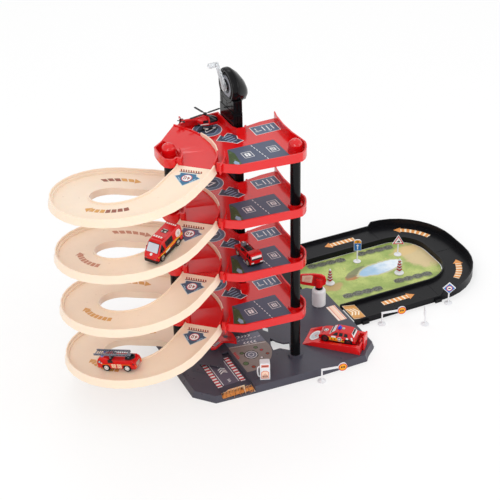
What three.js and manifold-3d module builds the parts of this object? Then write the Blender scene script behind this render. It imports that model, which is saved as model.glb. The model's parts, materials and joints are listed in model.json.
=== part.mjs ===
// A toy parking garage: four parking decks with spiral ramps, a cranked lift, a base board with
// a car launcher, a road loop round a play mat, road signs and small vehicles.
// Millimetres, +Z up. The table is z = 0 and the right pillar stands on x = y = 0.
import * as THREE from 'three';
import { mergeVertices } from 'three/addons/utils/BufferGeometryUtils.js';
import Module from 'manifold-3d';

const wasm = await Module();
wasm.setup();

const degrees = Math.PI / 180;
const overrun = 1; // how far a cutter passes the face it leaves by
const seatGap = 0.3; // between two pieces that seat on or butt against each other
const slideGap = 0.7; // round a piece that slides or turns in another

// Storeys
const storeyHeight = 100;
const deckCount = 4;
const boardHeight = 12;

// Decks
const deckWidth = 160;
const deckDepth = 190;
const deckWall = 2.5;
const rimHeight = 12.5;
const deckShares = [
  [-0.831, -0.021], [-0.794, -0.059], [-0.674, -0.126], [-0.075, -0.171], [-0.021, -0.169],
  [0.025, -0.142], [0.069, -0.095], [0.1, -0.042], [0.115, 0.005], [0.106, 0.089],
  [0.091, 0.211], [0.091, 0.368], [0.113, 0.537], [0.138, 0.621], [-0.034, 0.618],
  [-0.219, 0.592], [-0.263, 0.579], [-0.269, 0.505], [-0.292, 0.479], [-0.328, 0.474],
  [-0.369, 0.481], [-0.391, 0.521], [-0.394, 0.574], [-0.391, 0.763], [-0.386, 0.84],
  [-0.478, 0.837], [-0.594, 0.832], [-0.725, 0.816], [-0.838, 0.789], [-0.872, 0.774],
];
const mouthShares = [[0.08, 0.65], [-0.03, 0.66], [-0.26, 0.62], [-0.28, 0.5], [-0.246, 0.5],
  [-0.246, 0.565], [-0.219, 0.576], [-0.034, 0.602], [0.118, 0.606], [0.15, 0.65]];
const tipShares = [[-0.034, -0.203], [-0.081, -0.195], [-0.125, -0.161], [-0.134, -0.095],
  [-0.131, 0.011], [-0.119, 0.074], [-0.044, 0.121]];

// Pillars
const leftPillarX = -184;
const leftPillarY = 78;
const pillarRadius = 8.5;
const spigotRadius = 6;
const spigotLength = 9;
const socketWall = 3.7;
const socketHeight = 4.5;
const capRadius = 11.5;
const capRise = 10;
const roundSides = 16;

// Ramps and the landings that they leave and reach
const landingX = -217;
const landingY = 72;
const landingInner = 43.5;
const rampWidth = 62.5;
const landingFrom = -42 * degrees;
const landingTo = 47 * degrees;
const loopX = -260;
const loopY = 65;
const loopInner = 61;
const loopSteps = 22;
const turnSteps = 3;
const facetTurn = 10 * degrees;
const landingRise = 12;
const landingCrease = 1.5;
const creaseInner = -1 * degrees;
const creaseOuter = -20 * degrees;
const landingKerb = 6.5;
const kerbHeight = 6;
const kerbFrom = 8 * degrees;
const rampLand = 2.5;
const rampSag = 15;
const rampWall = 8.2;
const rampLedge = 4;
const rampLedgeDepth = 2.6;
const rampWallTop = 2.2;
const rampSkin = 2.2;
const rampLip = 2.5;
const rampInnerSkirt = 10;
const rampOuterSkirt = 5.6;
const rampFlare = 2.9;
const landingWallRise = 1.5;
const rampClearance = 0.35; // under the wheels of a vehicle that stands on a ramp
const guardFrom = -20 * degrees;
const guardTo = 18 * degrees;
const guardSeat = 3;
const guardThickness = 2;
const parkingWallRadius = 118;
const parkingWallFrom = -46 * degrees;
const parkingWallTo = -18.5 * degrees;

// Lift
const towerWidth = 16;
const towerDepth = 54;
const towerRight = -45.5;
const towerFront = 98;
const towerWall = 2.5;
const towerTop = 447;
const towerSlot = 12;
const ribWidth = 2.4;
const ribDepth = 1.4;
const footWall = 3;
const footHeight = 6;
const headRadius = 30.5;
const headRise = 37;
const headSplit = 8;
const headSides = 20;
const headShares = [[0, 0, 1], [0.2, -0.06, 0.94], [0.42, -0.14, 0.84], [0.66, -0.26, 0.66],
  [0.86, -0.38, 0.45], [1, -0.46, 0.22]];
const headBulge = 28;
const drumRadius = 16;
const drumFlange = 19;
const drumWidth = 14;
const drumFlangeWidth = 1.5;
const shaftRadius = 3;
const crankHub = 8;
const crankThickness = 4;
const crankLength = 38;
const crankWidth = 8;
const crankAngle = 48 * degrees;
const knobRadius = 4.5;
const knobLength = 14;
const platformLength = 69;
const platformDepth = 39;
const platformFloor = 2;
const platformWall = 2;
const platformKerb = 9;
const carriageHeight = 28;
const carriageWidth = 26;
const carriageThickness = 3;
const deckToPlatform = 1.6;

// Base board
const boardLength = 340;
const boardDepth = 240;
const boardDraft = 4;
const boardWall = 3;
const boardShares = [[-0.591, -0.062], [-0.506, -0.196], [-0.474, -0.2], [-0.291, -0.217],
  [0.062, -0.244], [0.324, -0.242], [0.35, -0.196], [0.409, -0.125], [0.418, -0.108],
  [0.418, 0.625], [0.365, 0.717], [0.338, 0.756], [-0.506, 0.756], [-0.591, 0.625]];
const openingShares = [[-0.082, 0.125], [-0.044, 0.125], [-0.006, 0.071], [0.021, 0.158],
  [-0.009, 0.171], [-0.035, 0.217], [-0.05, 0.271], [-0.074, 0.188]];
const slitShares = [[-0.041, 0.433], [-0.018, 0.4], [-0.035, 0.346], [-0.053, 0.383]];
const ribXShares = [-0.44, -0.21, 0.13, 0.3];
const ribYShares = [-0.07, 0.29, 0.53];
const roadLeft = -160;
const roadRight = -100;
const roadDepth = 5;
const roadBack = 62;
const roadFront = -36;
const roadLip = 1.2;

// Swing gates
const postX = 109;
const postY = 120;
const postRadius = 12.5;
const postHeight = 34;
const postRound = 6;
const neckRadius = 7;
const neckHeight = 5;
const neckPin = 2.5;
const armLength = 50;
const armHeight = 26;
const armThickness = 4;
const armTurn = 147 * degrees;
const armShares = [[0.24, -0.3], [0.27, 0], [0.22, 0.32], [0.08, 0.48], [-0.2, 0.5], [-0.6, 0.42],
  [-0.8, 0.28], [-0.8, -0.28], [-0.6, -0.42], [-0.2, -0.5], [0.08, -0.5]];
const spannerX = -92;
const spannerY = 89;
const spannerLength = 60;
const spannerWidth = 40;
const spannerThickness = 4;
const spannerLift = 8;
const spannerTurn = 30 * degrees;
const spannerShares = [[0.2, 0.62], [0.31, 0.3], [0.26, -0.1], [0.08, -0.5], [-0.06, -0.66],
  [-0.14, -0.35], [-0.22, -0.14], [-0.62, -0.14], [-0.72, 0], [-0.62, 0.14], [-0.22, 0.14],
  [-0.16, 0.42], [0.02, 0.62]];
const spannerPin = 4;

// Car launcher
const launcherX = 80;
const launcherY = 4;
const launcherTurn = 135 * degrees;
const launcherLength = 104;
const launcherWidth = 50;
const launcherBack = 16.5;
const launcherMid = 10;
const launcherLip = 1.4;
const launcherBed = 8;
const launcherWall = 6;
const launcherSlopeShare = 0.8;
const launcherBackWall = 3;
const launcherSink = 1.4;
const sliderWidth = 10;
const sliderHeight = 3;
const sliderReach = 52;
const lugThickness = 3;
const lugHeight = 8;
const tabHeight = 28;
const tabWidth = 20;
const springRadius = 2;
const springLength = 20;

// Road loop
const trackWidth = 57;
const trackWall = 3;
const trackHeight = 12;
const trackFloor = 6;
const trackSkin = 2.5;
const curveHeight = 20;
const trackInner = 59;
const trackFront = 44;
const entryLength = 28.5;
const straightLength = 153;
const rearRun = 22.5; // from the back edge of the board to the rear curve
const curveLead = 6;
const trackSteps = 9;
const clipLength = 14;
const clipDepth = 4;
const matThickness = 1;
const matGap = 1.5;

// Signs and cones
const discRadius = 7.5;
const discHeight = 2;
const poleRadius = 1.4;
const signThickness = 1.8;
const signFacing = -115 * degrees;
const coneRadius = 9;
const coneHeight = 32;

// Vehicles
const wheelRadius = 6.5;
const wheelWidth = 6;
const axleRadius = 1.5;
const wheelSides = 14;

const outerWidth = landingInner + rampWidth;
const middle = landingInner + rampWidth / 2;
const landing = new THREE.Vector2(landingX, landingY);
const loop = new THREE.Vector2(loopX, loopY);
const headX = towerRight - towerWidth;
const headZ = towerTop + headRise;
const headSetBack = 2; // of the drum's shaft behind the middle of the tower
const headY = towerFront + towerDepth / 2 + headSetBack;
const [boardEndShare] = boardShares[9];
const [, boardBackShare] = boardShares[11];
const trackStart = boardEndShare * boardLength + seatGap;
const entryEnd = trackStart + entryLength;
const straightEnd = entryEnd + straightLength;
const curveX = straightEnd + curveLead;
const rearX = entryEnd - curveLead;
const curveLowY = trackFront + trackWidth + trackInner;
const curveHighY = boardBackShare * boardDepth + rearRun;
const trackBack = curveHighY + trackInner;

function deckLevel(number) {
  return boardHeight + storeyHeight * (deckCount + 1 - number);
}

// A closed three.js geometry as a solid for joins and cuts.
function solidOf(geometry) {
  const bare = geometry.clone();
  bare.deleteAttribute('normal');
  bare.deleteAttribute('uv');
  const merged = mergeVertices(bare);
  const places = merged.attributes.position.array;
  const corners = merged.index.array;
  const kept = [];
  let volume = 0;
  for (let i = 0; i < corners.length; i += 3) {
    const [a, b, c] = [corners[i], corners[i + 1], corners[i + 2]];
    if (a === b || b === c || c === a) continue;
    kept.push(a, b, c);
    const [p, q, r] = [a, b, c].map((k) => new THREE.Vector3().fromArray(places, 3 * k));
    volume += p.dot(q.cross(r));
  }
  if (volume < 0) kept.reverse();
  return new wasm.Manifold(new wasm.Mesh({
    numProp: 3,
    vertProperties: new Float32Array(places),
    triVerts: new Uint32Array(kept),
  }));
}

function joined(...solids) {
  return solids.reduce((whole, piece) => whole.add(piece));
}

function moved(solid, x, y, z) {
  return solid.translate([x, y, z]);
}

function pointsFrom(shares, width, depth, x = 0, y = 0) {
  return shares.map(([u, v]) => [x + u * width, y + v * depth]);
}

function arc(x, y, radius, from, to, steps) {
  const points = [];
  for (let i = 0; i <= steps; i += 1) {
    const angle = from + (to - from) * i / steps;
    points.push([x + radius * Math.cos(angle), y + radius * Math.sin(angle)]);
  }
  return points;
}

// An arc whose corners lie on one ring of facets, so that walls on it line up.
function facetArc(x, y, radius, from, to) {
  const [low, high] = [Math.min(from, to), Math.max(from, to)];
  const angles = [low];
  for (let k = Math.ceil(low / facetTurn); k * facetTurn < high; k += 1) {
    const inside = Math.min(k * facetTurn - low, high - k * facetTurn) > facetTurn / 3;
    if (inside) angles.push(k * facetTurn);
  }
  angles.push(high);
  if (from > to) angles.reverse();
  return angles.map((angle) => [x + radius * Math.cos(angle), y + radius * Math.sin(angle)]);
}

// The outline moved in by a distance, corner by corner.
function inset(points, distance) {
  const flat = points.map(([x, y]) => new THREE.Vector2(x, y));
  const turn = Math.sign(THREE.ShapeUtils.area(flat));
  return flat.map((point, i) => {
    const before = flat[(i + flat.length - 1) % flat.length];
    const after = flat[(i + 1) % flat.length];
    const a = point.clone().sub(before).normalize();
    const b = after.clone().sub(point).normalize();
    const reach = distance * turn / (1 + a.dot(b));
    return [point.x - (a.y + b.y) * reach, point.y + (a.x + b.x) * reach];
  });
}

function shapeOf(points) {
  return new THREE.Shape(points.map(([x, y]) => new THREE.Vector2(x, y)));
}

function plate(points, low, high) {
  return new wasm.CrossSection([points], 'NonZero').extrude(high - low).translate([0, 0, low]);
}

// An outline in Y and Z, drawn out along X.
function prismX(points, low, high) {
  const geometry = new THREE.ExtrudeGeometry(shapeOf(points), { depth: high - low, bevelEnabled: false });
  geometry.applyMatrix4(new THREE.Matrix4().makeBasis(
    new THREE.Vector3(0, 1, 0), new THREE.Vector3(0, 0, 1), new THREE.Vector3(1, 0, 0)));
  geometry.translate(low, 0, 0);
  return solidOf(geometry);
}

// An outline in X and Z, drawn out along Y.
function prismY(points, low, high) {
  const geometry = new THREE.ExtrudeGeometry(shapeOf(points), { depth: high - low, bevelEnabled: false });
  geometry.applyMatrix4(new THREE.Matrix4().makeBasis(
    new THREE.Vector3(1, 0, 0), new THREE.Vector3(0, 0, 1), new THREE.Vector3(0, -1, 0)));
  geometry.translate(0, high, 0);
  return solidOf(geometry);
}

function block(x0, x1, y0, y1, z0, z1) {
  const geometry = new THREE.BoxGeometry(x1 - x0, y1 - y0, z1 - z0);
  geometry.translate((x0 + x1) / 2, (y0 + y1) / 2, (z0 + z1) / 2);
  return solidOf(geometry);
}

// A profile of radius and height turned about the Z axis.
function turned(profile, sides = roundSides) {
  const geometry = new THREE.LatheGeometry(profile.map(([r, z]) => new THREE.Vector2(r, z)), sides);
  geometry.rotateX(Math.PI / 2);
  return solidOf(geometry);
}

function drum(radius, low, high, sides = roundSides) {
  return turned([[0, low], [radius, low], [radius, high], [0, high]], sides);
}

function drumAlongX(radius, low, high, y, z, sides = roundSides) {
  return moved(drum(radius, low, high, sides).rotate([0, 90, 0]), 0, y, z);
}

function drumAlongY(radius, low, high, x, z, sides = roundSides) {
  return moved(drum(radius, low, high, sides).rotate([-90, 0, 0]), x, 0, z);
}

// Rings of equally many points skinned into one closed body, with flat ends.
function loft(rings) {
  const count = rings[0].length;
  const corners = [];
  for (let i = 0; i + 1 < rings.length; i += 1) {
    for (let k = 0; k < count; k += 1) {
      const [a, b] = [i * count + k, i * count + (k + 1) % count];
      corners.push(a, b, b + count, a, b + count, a + count);
    }
  }
  const last = (rings.length - 1) * count;
  const start = endCap(rings[0]);
  const end = endCap(rings[rings.length - 1]);
  for (const [a, b, c] of start) corners.push(a, c, b);
  for (const [a, b, c] of end) corners.push(last + a, last + b, last + c);
  const geometry = new THREE.BufferGeometry();
  geometry.setAttribute('position', new THREE.Float32BufferAttribute(rings.flat(2), 3));
  geometry.setIndex(corners);
  return solidOf(geometry);
}

// Triangles that close a flat ring, found in the ring's own plane.
function endCap(ring) {
  const points = ring.map((place) => new THREE.Vector3(...place));
  const normal = new THREE.Vector3();
  points.forEach((point, i) => {
    normal.add(point.clone().cross(points[(i + 1) % points.length]));
  });
  normal.normalize();
  const across = points[1].clone().sub(points[0]).normalize();
  const up = normal.clone().cross(across);
  const flat = points.map((point) => new THREE.Vector2(point.dot(across), point.dot(up)));
  return THREE.ShapeUtils.triangulateShape(flat, []);
}

// A section of across and up swept over stations of a place, a height and an outward direction.
function sweep(sectionAt, stations) {
  return loft(stations.map(({ x, y, z, angle }, i) => sectionAt(i).map(([across, up]) => [
    x + across * Math.cos(angle), y + across * Math.sin(angle), z + up])));
}

// A wall on an arc, from its outer radius inwards.
function arcWall(x, y, radius, thickness, from, to, low, high) {
  const outer = facetArc(x, y, radius, from, to);
  const inner = facetArc(x, y, radius - thickness, to, from);
  return plate([...outer, ...inner], low, high);
}

const model = new THREE.Group();
const paints = {
  red: { color: 0xd5171b, roughness: 0.28, metalness: 0 },
  cream: { color: 0xf1d3b0, roughness: 0.4, metalness: 0 },
  black: { color: 0x0b0b0d, roughness: 0.22, metalness: 0 },
  slate: { color: 0x3d3d45, roughness: 0.45, metalness: 0 },
  road: { color: 0x232327, roughness: 0.45, metalness: 0 },
  white: { color: 0xf2f2f2, roughness: 0.35, metalness: 0 },
  clear: { color: 0xdfe3e6, roughness: 0.15, metalness: 0 },
  green: { color: 0xa9bd6d, roughness: 0.7, metalness: 0 },
  steel: { color: 0x9fa3a8, roughness: 0.35, metalness: 0.8 },
  grey: { color: 0x8a8f96, roughness: 0.45, metalness: 0 },
};

function addPiece(name, solid, paint, parent = model) {
  const made = solid.getMesh();
  const geometry = new THREE.BufferGeometry();
  geometry.setAttribute('position', new THREE.BufferAttribute(made.vertProperties, 3));
  geometry.setIndex(new THREE.BufferAttribute(made.triVerts, 1));
  geometry.computeVertexNormals();
  const mesh = new THREE.Mesh(geometry, new THREE.MeshStandardMaterial(paints[paint]));
  mesh.name = name;
  parent.add(mesh);
  return mesh;
}

// Ramp path: radius 75 mm round the landing, straight, then the loop, straight, and the landing.
function rampStations() {
  const between = loop.clone().sub(landing);
  const side = Math.acos((landingInner - loopInner) / between.length());
  const first = between.angle() + side - 2 * Math.PI;
  const second = between.angle() - side;
  const leaving = first < -Math.PI ? first + 2 * Math.PI : first;
  const arriving = second > Math.PI ? second - 2 * Math.PI : second;
  const seam = seatGap / landingInner;
  const stations = [];
  const walk = (centre, radius, from, to, steps) => {
    for (let i = 0; i <= steps; i += 1) {
      const angle = from + (to - from) * i / steps;
      stations.push({
        x: centre.x + radius * Math.cos(angle), y: centre.y + radius * Math.sin(angle), angle });
    }
  };
  walk(landing, middle, landingFrom - seam, leaving, turnSteps);
  walk(loop, middle + loopInner - landingInner, leaving, arriving - 2 * Math.PI, loopSteps);
  walk(landing, middle, arriving, landingTo + seam, turnSteps);
  let length = 0;
  stations.forEach((station, i) => {
    if (i > 0) length += Math.hypot(station.x - stations[i - 1].x, station.y - stations[i - 1].y);
    station.walked = length;
  });
  return stations;
}

const rampPath = rampStations();
const rampRun = rampPath[rampPath.length - 1].walked;
const rampFall = storeyHeight - landingRise - rampLand;

// How far the road has come down at a point of its way: less at first, more towards its foot.
function rampDrop(walked) {
  const share = walked / rampRun;
  return (rampFall - rampSag) * share + rampSag * share * share;
}

function rampSection() {
  const half = rampWidth / 2;
  return [
    [-half, -rampInnerSkirt],
    [-half + rampSkin, -rampInnerSkirt],
    [-half + rampSkin, -rampSkin],
    [half - rampSkin, -rampSkin],
    [half + rampFlare - rampSkin, -rampOuterSkirt],
    [half + rampFlare, -rampOuterSkirt],
    [half + rampFlare * 0.2, rampWall * 0.25],
    [half, rampWall],
    [half - rampWallTop, rampWall],
    [half - rampWallTop - rampFlare * 0.15, rampLedge],
    [half - rampWallTop - rampLedgeDepth, rampLedge - rampFlare * 0.15],
    [half - rampWallTop - rampLedgeDepth * 1.3, 0],
    [-half + rampSkin, 0],
    [-half + rampSkin * 0.8, rampLip],
    [-half, rampLip],
  ];
}

function makeRamp(number) {
  const section = rampSection();
  const stations = rampPath.map((station) => ({
    ...station, z: deckLevel(number) - rampDrop(station.walked) }));
  addPiece(`spiral_ramp_${number}`, sweep(() => section, stations), 'cream');
}

// Height of the road surface of a ramp, over a point of the loop.
function rampHeight(number, x, y) {
  let angle = Math.atan2(y - loopY, x - loopX);
  const first = rampPath[turnSteps + 1];
  const last = rampPath[turnSteps + 1 + loopSteps];
  if (angle > first.angle) angle -= 2 * Math.PI;
  const share = (angle - first.angle) / (last.angle - first.angle);
  const walked = first.walked + (last.walked - first.walked) * share;
  return deckLevel(number) - rampDrop(walked);
}

// The landing's road: a ruled slab from the ramp's foot down to a crease, then to its lip.
function landingSlab(level, lipDrop, base = null) {
  const rows = [];
  const inner = landingInner + landingKerb;
  const outer = outerWidth - guardThickness - seatGap;
  const row = (from, to, top) => {
    const under = base === null ? top - deckWall : base;
    const low = Math.min(-deckWall, under) - seatGap;
    const place = (radius, angle, z) => [
      landingX + radius * Math.cos(angle), landingY + radius * Math.sin(angle), level + z];
    const step = (radius) => from + (to - from) * (radius - inner) / (outer - inner);
    const foot = inner + deckWall;
    rows.push([
      place(inner, from, low), place(foot, step(foot), low), place(foot, step(foot), under),
      place(outer, to, under), place(outer, to, top), place(inner, from, top)]);
  };
  const upper = 6;
  for (let i = 0; i <= upper; i += 1) {
    const t = i / upper;
    row(landingTo + (creaseInner - landingTo) * t, landingTo + (creaseOuter - landingTo) * t,
      landingRise + (landingCrease - landingRise) * t);
  }
  const lower = 3;
  for (let i = 1; i <= lower; i += 1) {
    const t = i / lower;
    row(creaseInner + (landingFrom - creaseInner) * t, creaseOuter + (landingFrom - creaseOuter) * t,
      landingCrease + (lipDrop - landingCrease) * t);
  }
  return loft(rows);
}

// The landing's outer rim beside the ramp's foot: it rises with the road.
function landingRim(level, under) {
  const rows = [];
  const steps = Math.ceil((landingTo - guardTo) / facetTurn);
  for (let i = 0; i <= steps; i += 1) {
    const angle = landingTo + (guardTo - landingTo) * i / steps;
    const share = (landingTo - angle) / (landingTo - creaseOuter);
    const top = level + landingRise + (landingCrease - landingRise) * share + landingWallRise;
    const place = (radius, z) => [...landingPoint(radius, angle), z];
    const foot = outerWidth - deckWall - seatGap;
    rows.push([place(foot, under), place(outerWidth, under), place(outerWidth, top), place(foot, top)]);
  }
  return loft(rows);
}

function landingPoint(radius, angle) {
  return [landingX + radius * Math.cos(angle), landingY + radius * Math.sin(angle)];
}

function deckOutline() {
  const edge = outerWidth - deckWall / 2;
  return [
    landingPoint(edge, landingFrom),
    ...pointsFrom(deckShares, deckWidth, deckDepth),
    ...facetArc(landingX, landingY, edge, landingTo, landingFrom).slice(0, -1),
  ];
}

function tipOutline() {
  const edge = landingInner + landingKerb + deckWall / 2;
  const near = landingInner - slideGap;
  return [
    landingPoint(edge, landingFrom),
    landingPoint(near, landingFrom),
    ...pointsFrom(tipShares, deckWidth, deckDepth, leftPillarX, leftPillarY),
    landingPoint(near, landingTo),
    ...facetArc(landingX, landingY, edge, landingTo, landingFrom).slice(0, -1),
  ];
}

function makeDeck(number) {
  const level = deckLevel(number);
  const under = level - deckWall;
  const top = level + rimHeight;
  const outline = deckOutline();
  const tip = tipOutline();
  const rim = plate(outline, under, top).subtract(plate(inset(outline, deckWall), level, top + overrun));
  const mouth = plate(pointsFrom(mouthShares, deckWidth, deckDepth), level, top + overrun);
  const landingGap = arcWall(landingX, landingY, outerWidth + deckWall, 3 * deckWall,
    landingFrom - seatGap / landingInner, landingTo, level + landingCrease, top + overrun);
  const tray = plate(tip, under, top).subtract(plate(inset(tip, deckWall), level, top + overrun));
  const openTip = arcWall(landingX, landingY, landingInner + landingKerb + 2 * deckWall, 3 * deckWall,
    creaseInner, landingTo, level + landingCrease, top + overrun);
  const landingWall = joined(
    arcWall(landingX, landingY, outerWidth, deckWall, landingFrom, guardFrom, under, top),
    arcWall(landingX, landingY, outerWidth, deckWall, guardFrom, guardTo, under, level + guardSeat),
    landingRim(level, under));
  const kerb = arcWall(landingX, landingY, landingInner + landingKerb, deckWall, landingFrom, kerbFrom,
    under, level + kerbHeight);
  const parkingWall = arcWall(landingX, landingY, parkingWallRadius, deckWall, parkingWallFrom,
    parkingWallTo, under, top);
  let deck = joined(rim.subtract(landingGap).subtract(mouth), tray.subtract(openTip), landingWall,
    parkingWall, kerb, landingSlab(level, 0));
  for (const [x, y] of [[0, 0], [leftPillarX, leftPillarY]]) {
    deck = deck.add(moved(drum(pillarRadius + seatGap + socketWall, -deckWall, socketHeight), x, y, level));
    deck = deck.subtract(moved(drum(pillarRadius + seatGap, 0, socketHeight + overrun), x, y, level));
    deck = deck.subtract(moved(drum(spigotRadius + seatGap, -overrun, overrun), x, y, under));
    deck = deck.subtract(moved(drum(spigotRadius + seatGap, 0, deckWall + overrun), x, y, under));
  }
  addPiece(`deck_${number}`, deck, 'red');
}

function makeGuard(number) {
  const level = deckLevel(number);
  const turn = seatGap / outerWidth;
  const strip = arcWall(landingX, landingY, outerWidth, guardThickness, guardFrom + turn, guardTo - turn,
    level + guardSeat + seatGap, level + rimHeight);
  addPiece(`guard_rail_${number}`, strip, 'cream');
}

// A pillar: a tube over the spigot below, with its own spigot through the deck above.
function makePillar(name, x, y, number) {
  const foot = deckLevel(number + 1) + seatGap;
  const shoulder = deckLevel(number) - deckWall - seatGap;
  const bore = foot + spigotLength + seatGap;
  const top = shoulder + deckWall + seatGap + spigotLength;
  addPiece(name, moved(turned([
    [0, bore], [spigotRadius + seatGap, bore], [spigotRadius + seatGap, foot], [pillarRadius, foot],
    [pillarRadius, shoulder], [spigotRadius, shoulder], [spigotRadius, top], [0, top],
  ]), x, y, 0), 'black');
}

function makeCap(name, x, y) {
  const foot = deckLevel(1) + seatGap;
  const collar = deckLevel(1) + socketHeight + seatGap;
  const middleHeight = deckLevel(1) + capRise;
  const bore = foot + spigotLength + seatGap;
  const dome = [];
  const domeSteps = 6;
  for (let i = 0; i <= domeSteps; i += 1) {
    const angle = Math.PI / 2 * i / domeSteps;
    dome.push([capRadius * Math.cos(angle), middleHeight + capRadius * Math.sin(angle)]);
  }
  dome[domeSteps][0] = 0;
  addPiece(name, moved(turned([
    [0, bore], [spigotRadius + seatGap, bore], [spigotRadius + seatGap, foot], [pillarRadius, foot],
    [pillarRadius, collar], [capRadius, collar], ...dome,
  ]), x, y, 0), 'red');
}

// Lift tower: a channel with a slot to the decks' side, standing in the board's socket.
function makeTower() {
  const left = towerRight - towerWidth;
  const back = towerFront + towerDepth;
  const centre = towerFront + towerDepth / 2;
  const foot = boardHeight + seatGap;
  let tower = block(left, towerRight, towerFront, back, foot, towerTop);
  tower = tower.subtract(block(left + towerWall, towerRight - towerWall, towerFront + towerWall,
    back - towerWall, foot - overrun, towerTop + overrun));
  tower = tower.subtract(block(towerRight - 2 * towerWall, towerRight + overrun, centre - towerSlot / 2,
    centre + towerSlot / 2, foot - overrun, towerTop - 2 * towerWall));
  for (const share of [0.22, 0.5, 0.78]) {
    const x = left + towerWidth * share;
    tower = tower.add(block(x - ribWidth / 2, x + ribWidth / 2, towerFront - ribDepth,
      towerFront + towerWall / 2, foot, towerTop - 2 * ribWidth));
  }
  addPiece('lift_tower', tower, 'black');
}

// Winding head: two shells round the drum, split across its shaft.
function makeHead() {
  const split = headX + headSplit;
  const low = headZ - headRise + seatGap;
  const cavity = drumAlongX(drumFlange + slideGap, split - drumWidth / 2 - slideGap,
    split + drumWidth / 2 + slideGap, headY, headZ);
  const shaftHole = drumAlongX(shaftRadius + slideGap, headX - overrun, split + drumWidth, headY, headZ);
  const neck = block(headX, towerRight, towerFront, towerFront + towerDepth, low, headZ);
  const neckRoom = block(headX + towerWall, towerRight - towerWall, towerFront + towerWall,
    towerFront + towerDepth - towerWall, low - overrun, headZ - drumRadius);
  const face = drumAlongX(headRadius, headX, split - seatGap / 2, headY, headZ, headSides);
  const left = joined(face, neck.intersect(block(headX, split - seatGap / 2, towerFront,
    towerFront + towerDepth, low, headZ)));
  const rings = headShares.map(([reach, drop, size]) => arc(0, 0, headRadius * size, 0,
    2 * Math.PI, headSides).slice(0, -1).map(([u, v]) => [
    split + seatGap / 2 + headBulge * reach, headY + u, headZ + v + headRadius * drop]));
  const right = joined(loft(rings), neck.intersect(block(split + seatGap / 2, towerRight, towerFront,
    towerFront + towerDepth, low, headZ)));
  addPiece('lift_head_left', left.subtract(cavity).subtract(shaftHole).subtract(neckRoom), 'black');
  addPiece('lift_head_right', right.subtract(cavity).subtract(shaftHole).subtract(neckRoom), 'black');
  makeDrum(split);
}

function makeDrum(split) {
  const low = split - drumWidth / 2;
  const high = split + drumWidth / 2;
  const hub = headX - slideGap;
  addPiece('lift_drum', joined(
    drumAlongX(drumRadius, low, high, headY, headZ),
    drumAlongX(drumFlange, low, low + drumFlangeWidth, headY, headZ),
    drumAlongX(drumFlange, high - drumFlangeWidth, high, headY, headZ),
    drumAlongX(shaftRadius, hub - crankThickness / 2, split + drumWidth - overrun, headY, headZ)), 'grey');
  const tipY = headY + crankLength * Math.cos(crankAngle);
  const tipZ = headZ + crankLength * Math.sin(crankAngle);
  const sideY = crankWidth / 2 * Math.sin(crankAngle);
  const sideZ = crankWidth / 2 * Math.cos(crankAngle);
  const arm = prismX([[headY + sideY, headZ - sideZ], [tipY + sideY, tipZ - sideZ],
    [tipY - sideY, tipZ + sideZ], [headY - sideY, headZ + sideZ]], hub - crankThickness, hub);
  addPiece('crank', joined(
    drumAlongX(crankHub, hub - crankThickness, hub, headY, headZ),
    drumAlongX(crankWidth / 2, hub - crankThickness, hub, tipY, tipZ),
    arm,
    drumAlongX(knobRadius, hub - crankThickness - knobLength, hub - crankThickness / 2, tipY, tipZ),
  ).subtract(drumAlongX(shaftRadius + seatGap, hub - crankThickness / 2 - seatGap, hub + overrun,
    headY, headZ)), 'clear');
}

// Lift platform: a tray open to the decks, with a shoe that runs in the tower's slot.
function makePlatform() {
  const [, mouthShare] = deckShares[13];
  const front = mouthShare * deckDepth + deckToPlatform;
  const left = towerRight + carriageThickness;
  const right = left + platformLength;
  const back = front + platformDepth;
  const floor = boardHeight + 2 * platformFloor;
  const centre = towerFront + towerDepth / 2;
  const low = floor - platformFloor;
  let platform = joined(
    block(left, right, front, back, low, floor),
    block(left, right, back - platformWall, back, low, floor + platformKerb),
    block(right - platformWall, right, front, back, low, floor + platformKerb),
    block(left - overrun, left + platformWall, centre - carriageWidth / 2, back, low,
      floor + carriageHeight));
  const stem = block(towerRight - 2 * towerWall, left, centre - towerSlot / 2 + slideGap,
    centre + towerSlot / 2 - slideGap, low, floor + carriageHeight);
  const shoe = block(towerRight - towerWidth + towerWall + slideGap, towerRight - towerWall - slideGap,
    centre - towerSlot, centre + towerSlot, low, floor + carriageHeight);
  platform = joined(platform, stem, shoe);
  addPiece('lift_platform', platform, 'red');
}

function boardBody(distance, top) {
  const outline = pointsFrom(boardShares, boardLength, boardDepth);
  const rings = [[0, distance], [top, distance + boardDraft]].map(([z, step]) => (
    inset(outline, step).map(([x, y]) => [x, y, z])));
  return loft(rings);
}

function launcherPlaced(solid) {
  return moved(solid.rotate([0, 0, launcherTurn / degrees]), launcherX, launcherY, 0);
}

function roadCutter(sink, side) {
  const [, frontShare] = boardShares[3];
  const front = frontShare * boardDepth - 2 * boardDraft;
  const bottom = boardHeight - roadDepth - sink;
  return prismX([[roadBack, boardHeight + overrun], [roadBack, bottom], [roadFront, bottom],
    [front, roadLip - sink], [front, boardHeight + overrun]], roadLeft - side, roadRight + side);
}

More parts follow.
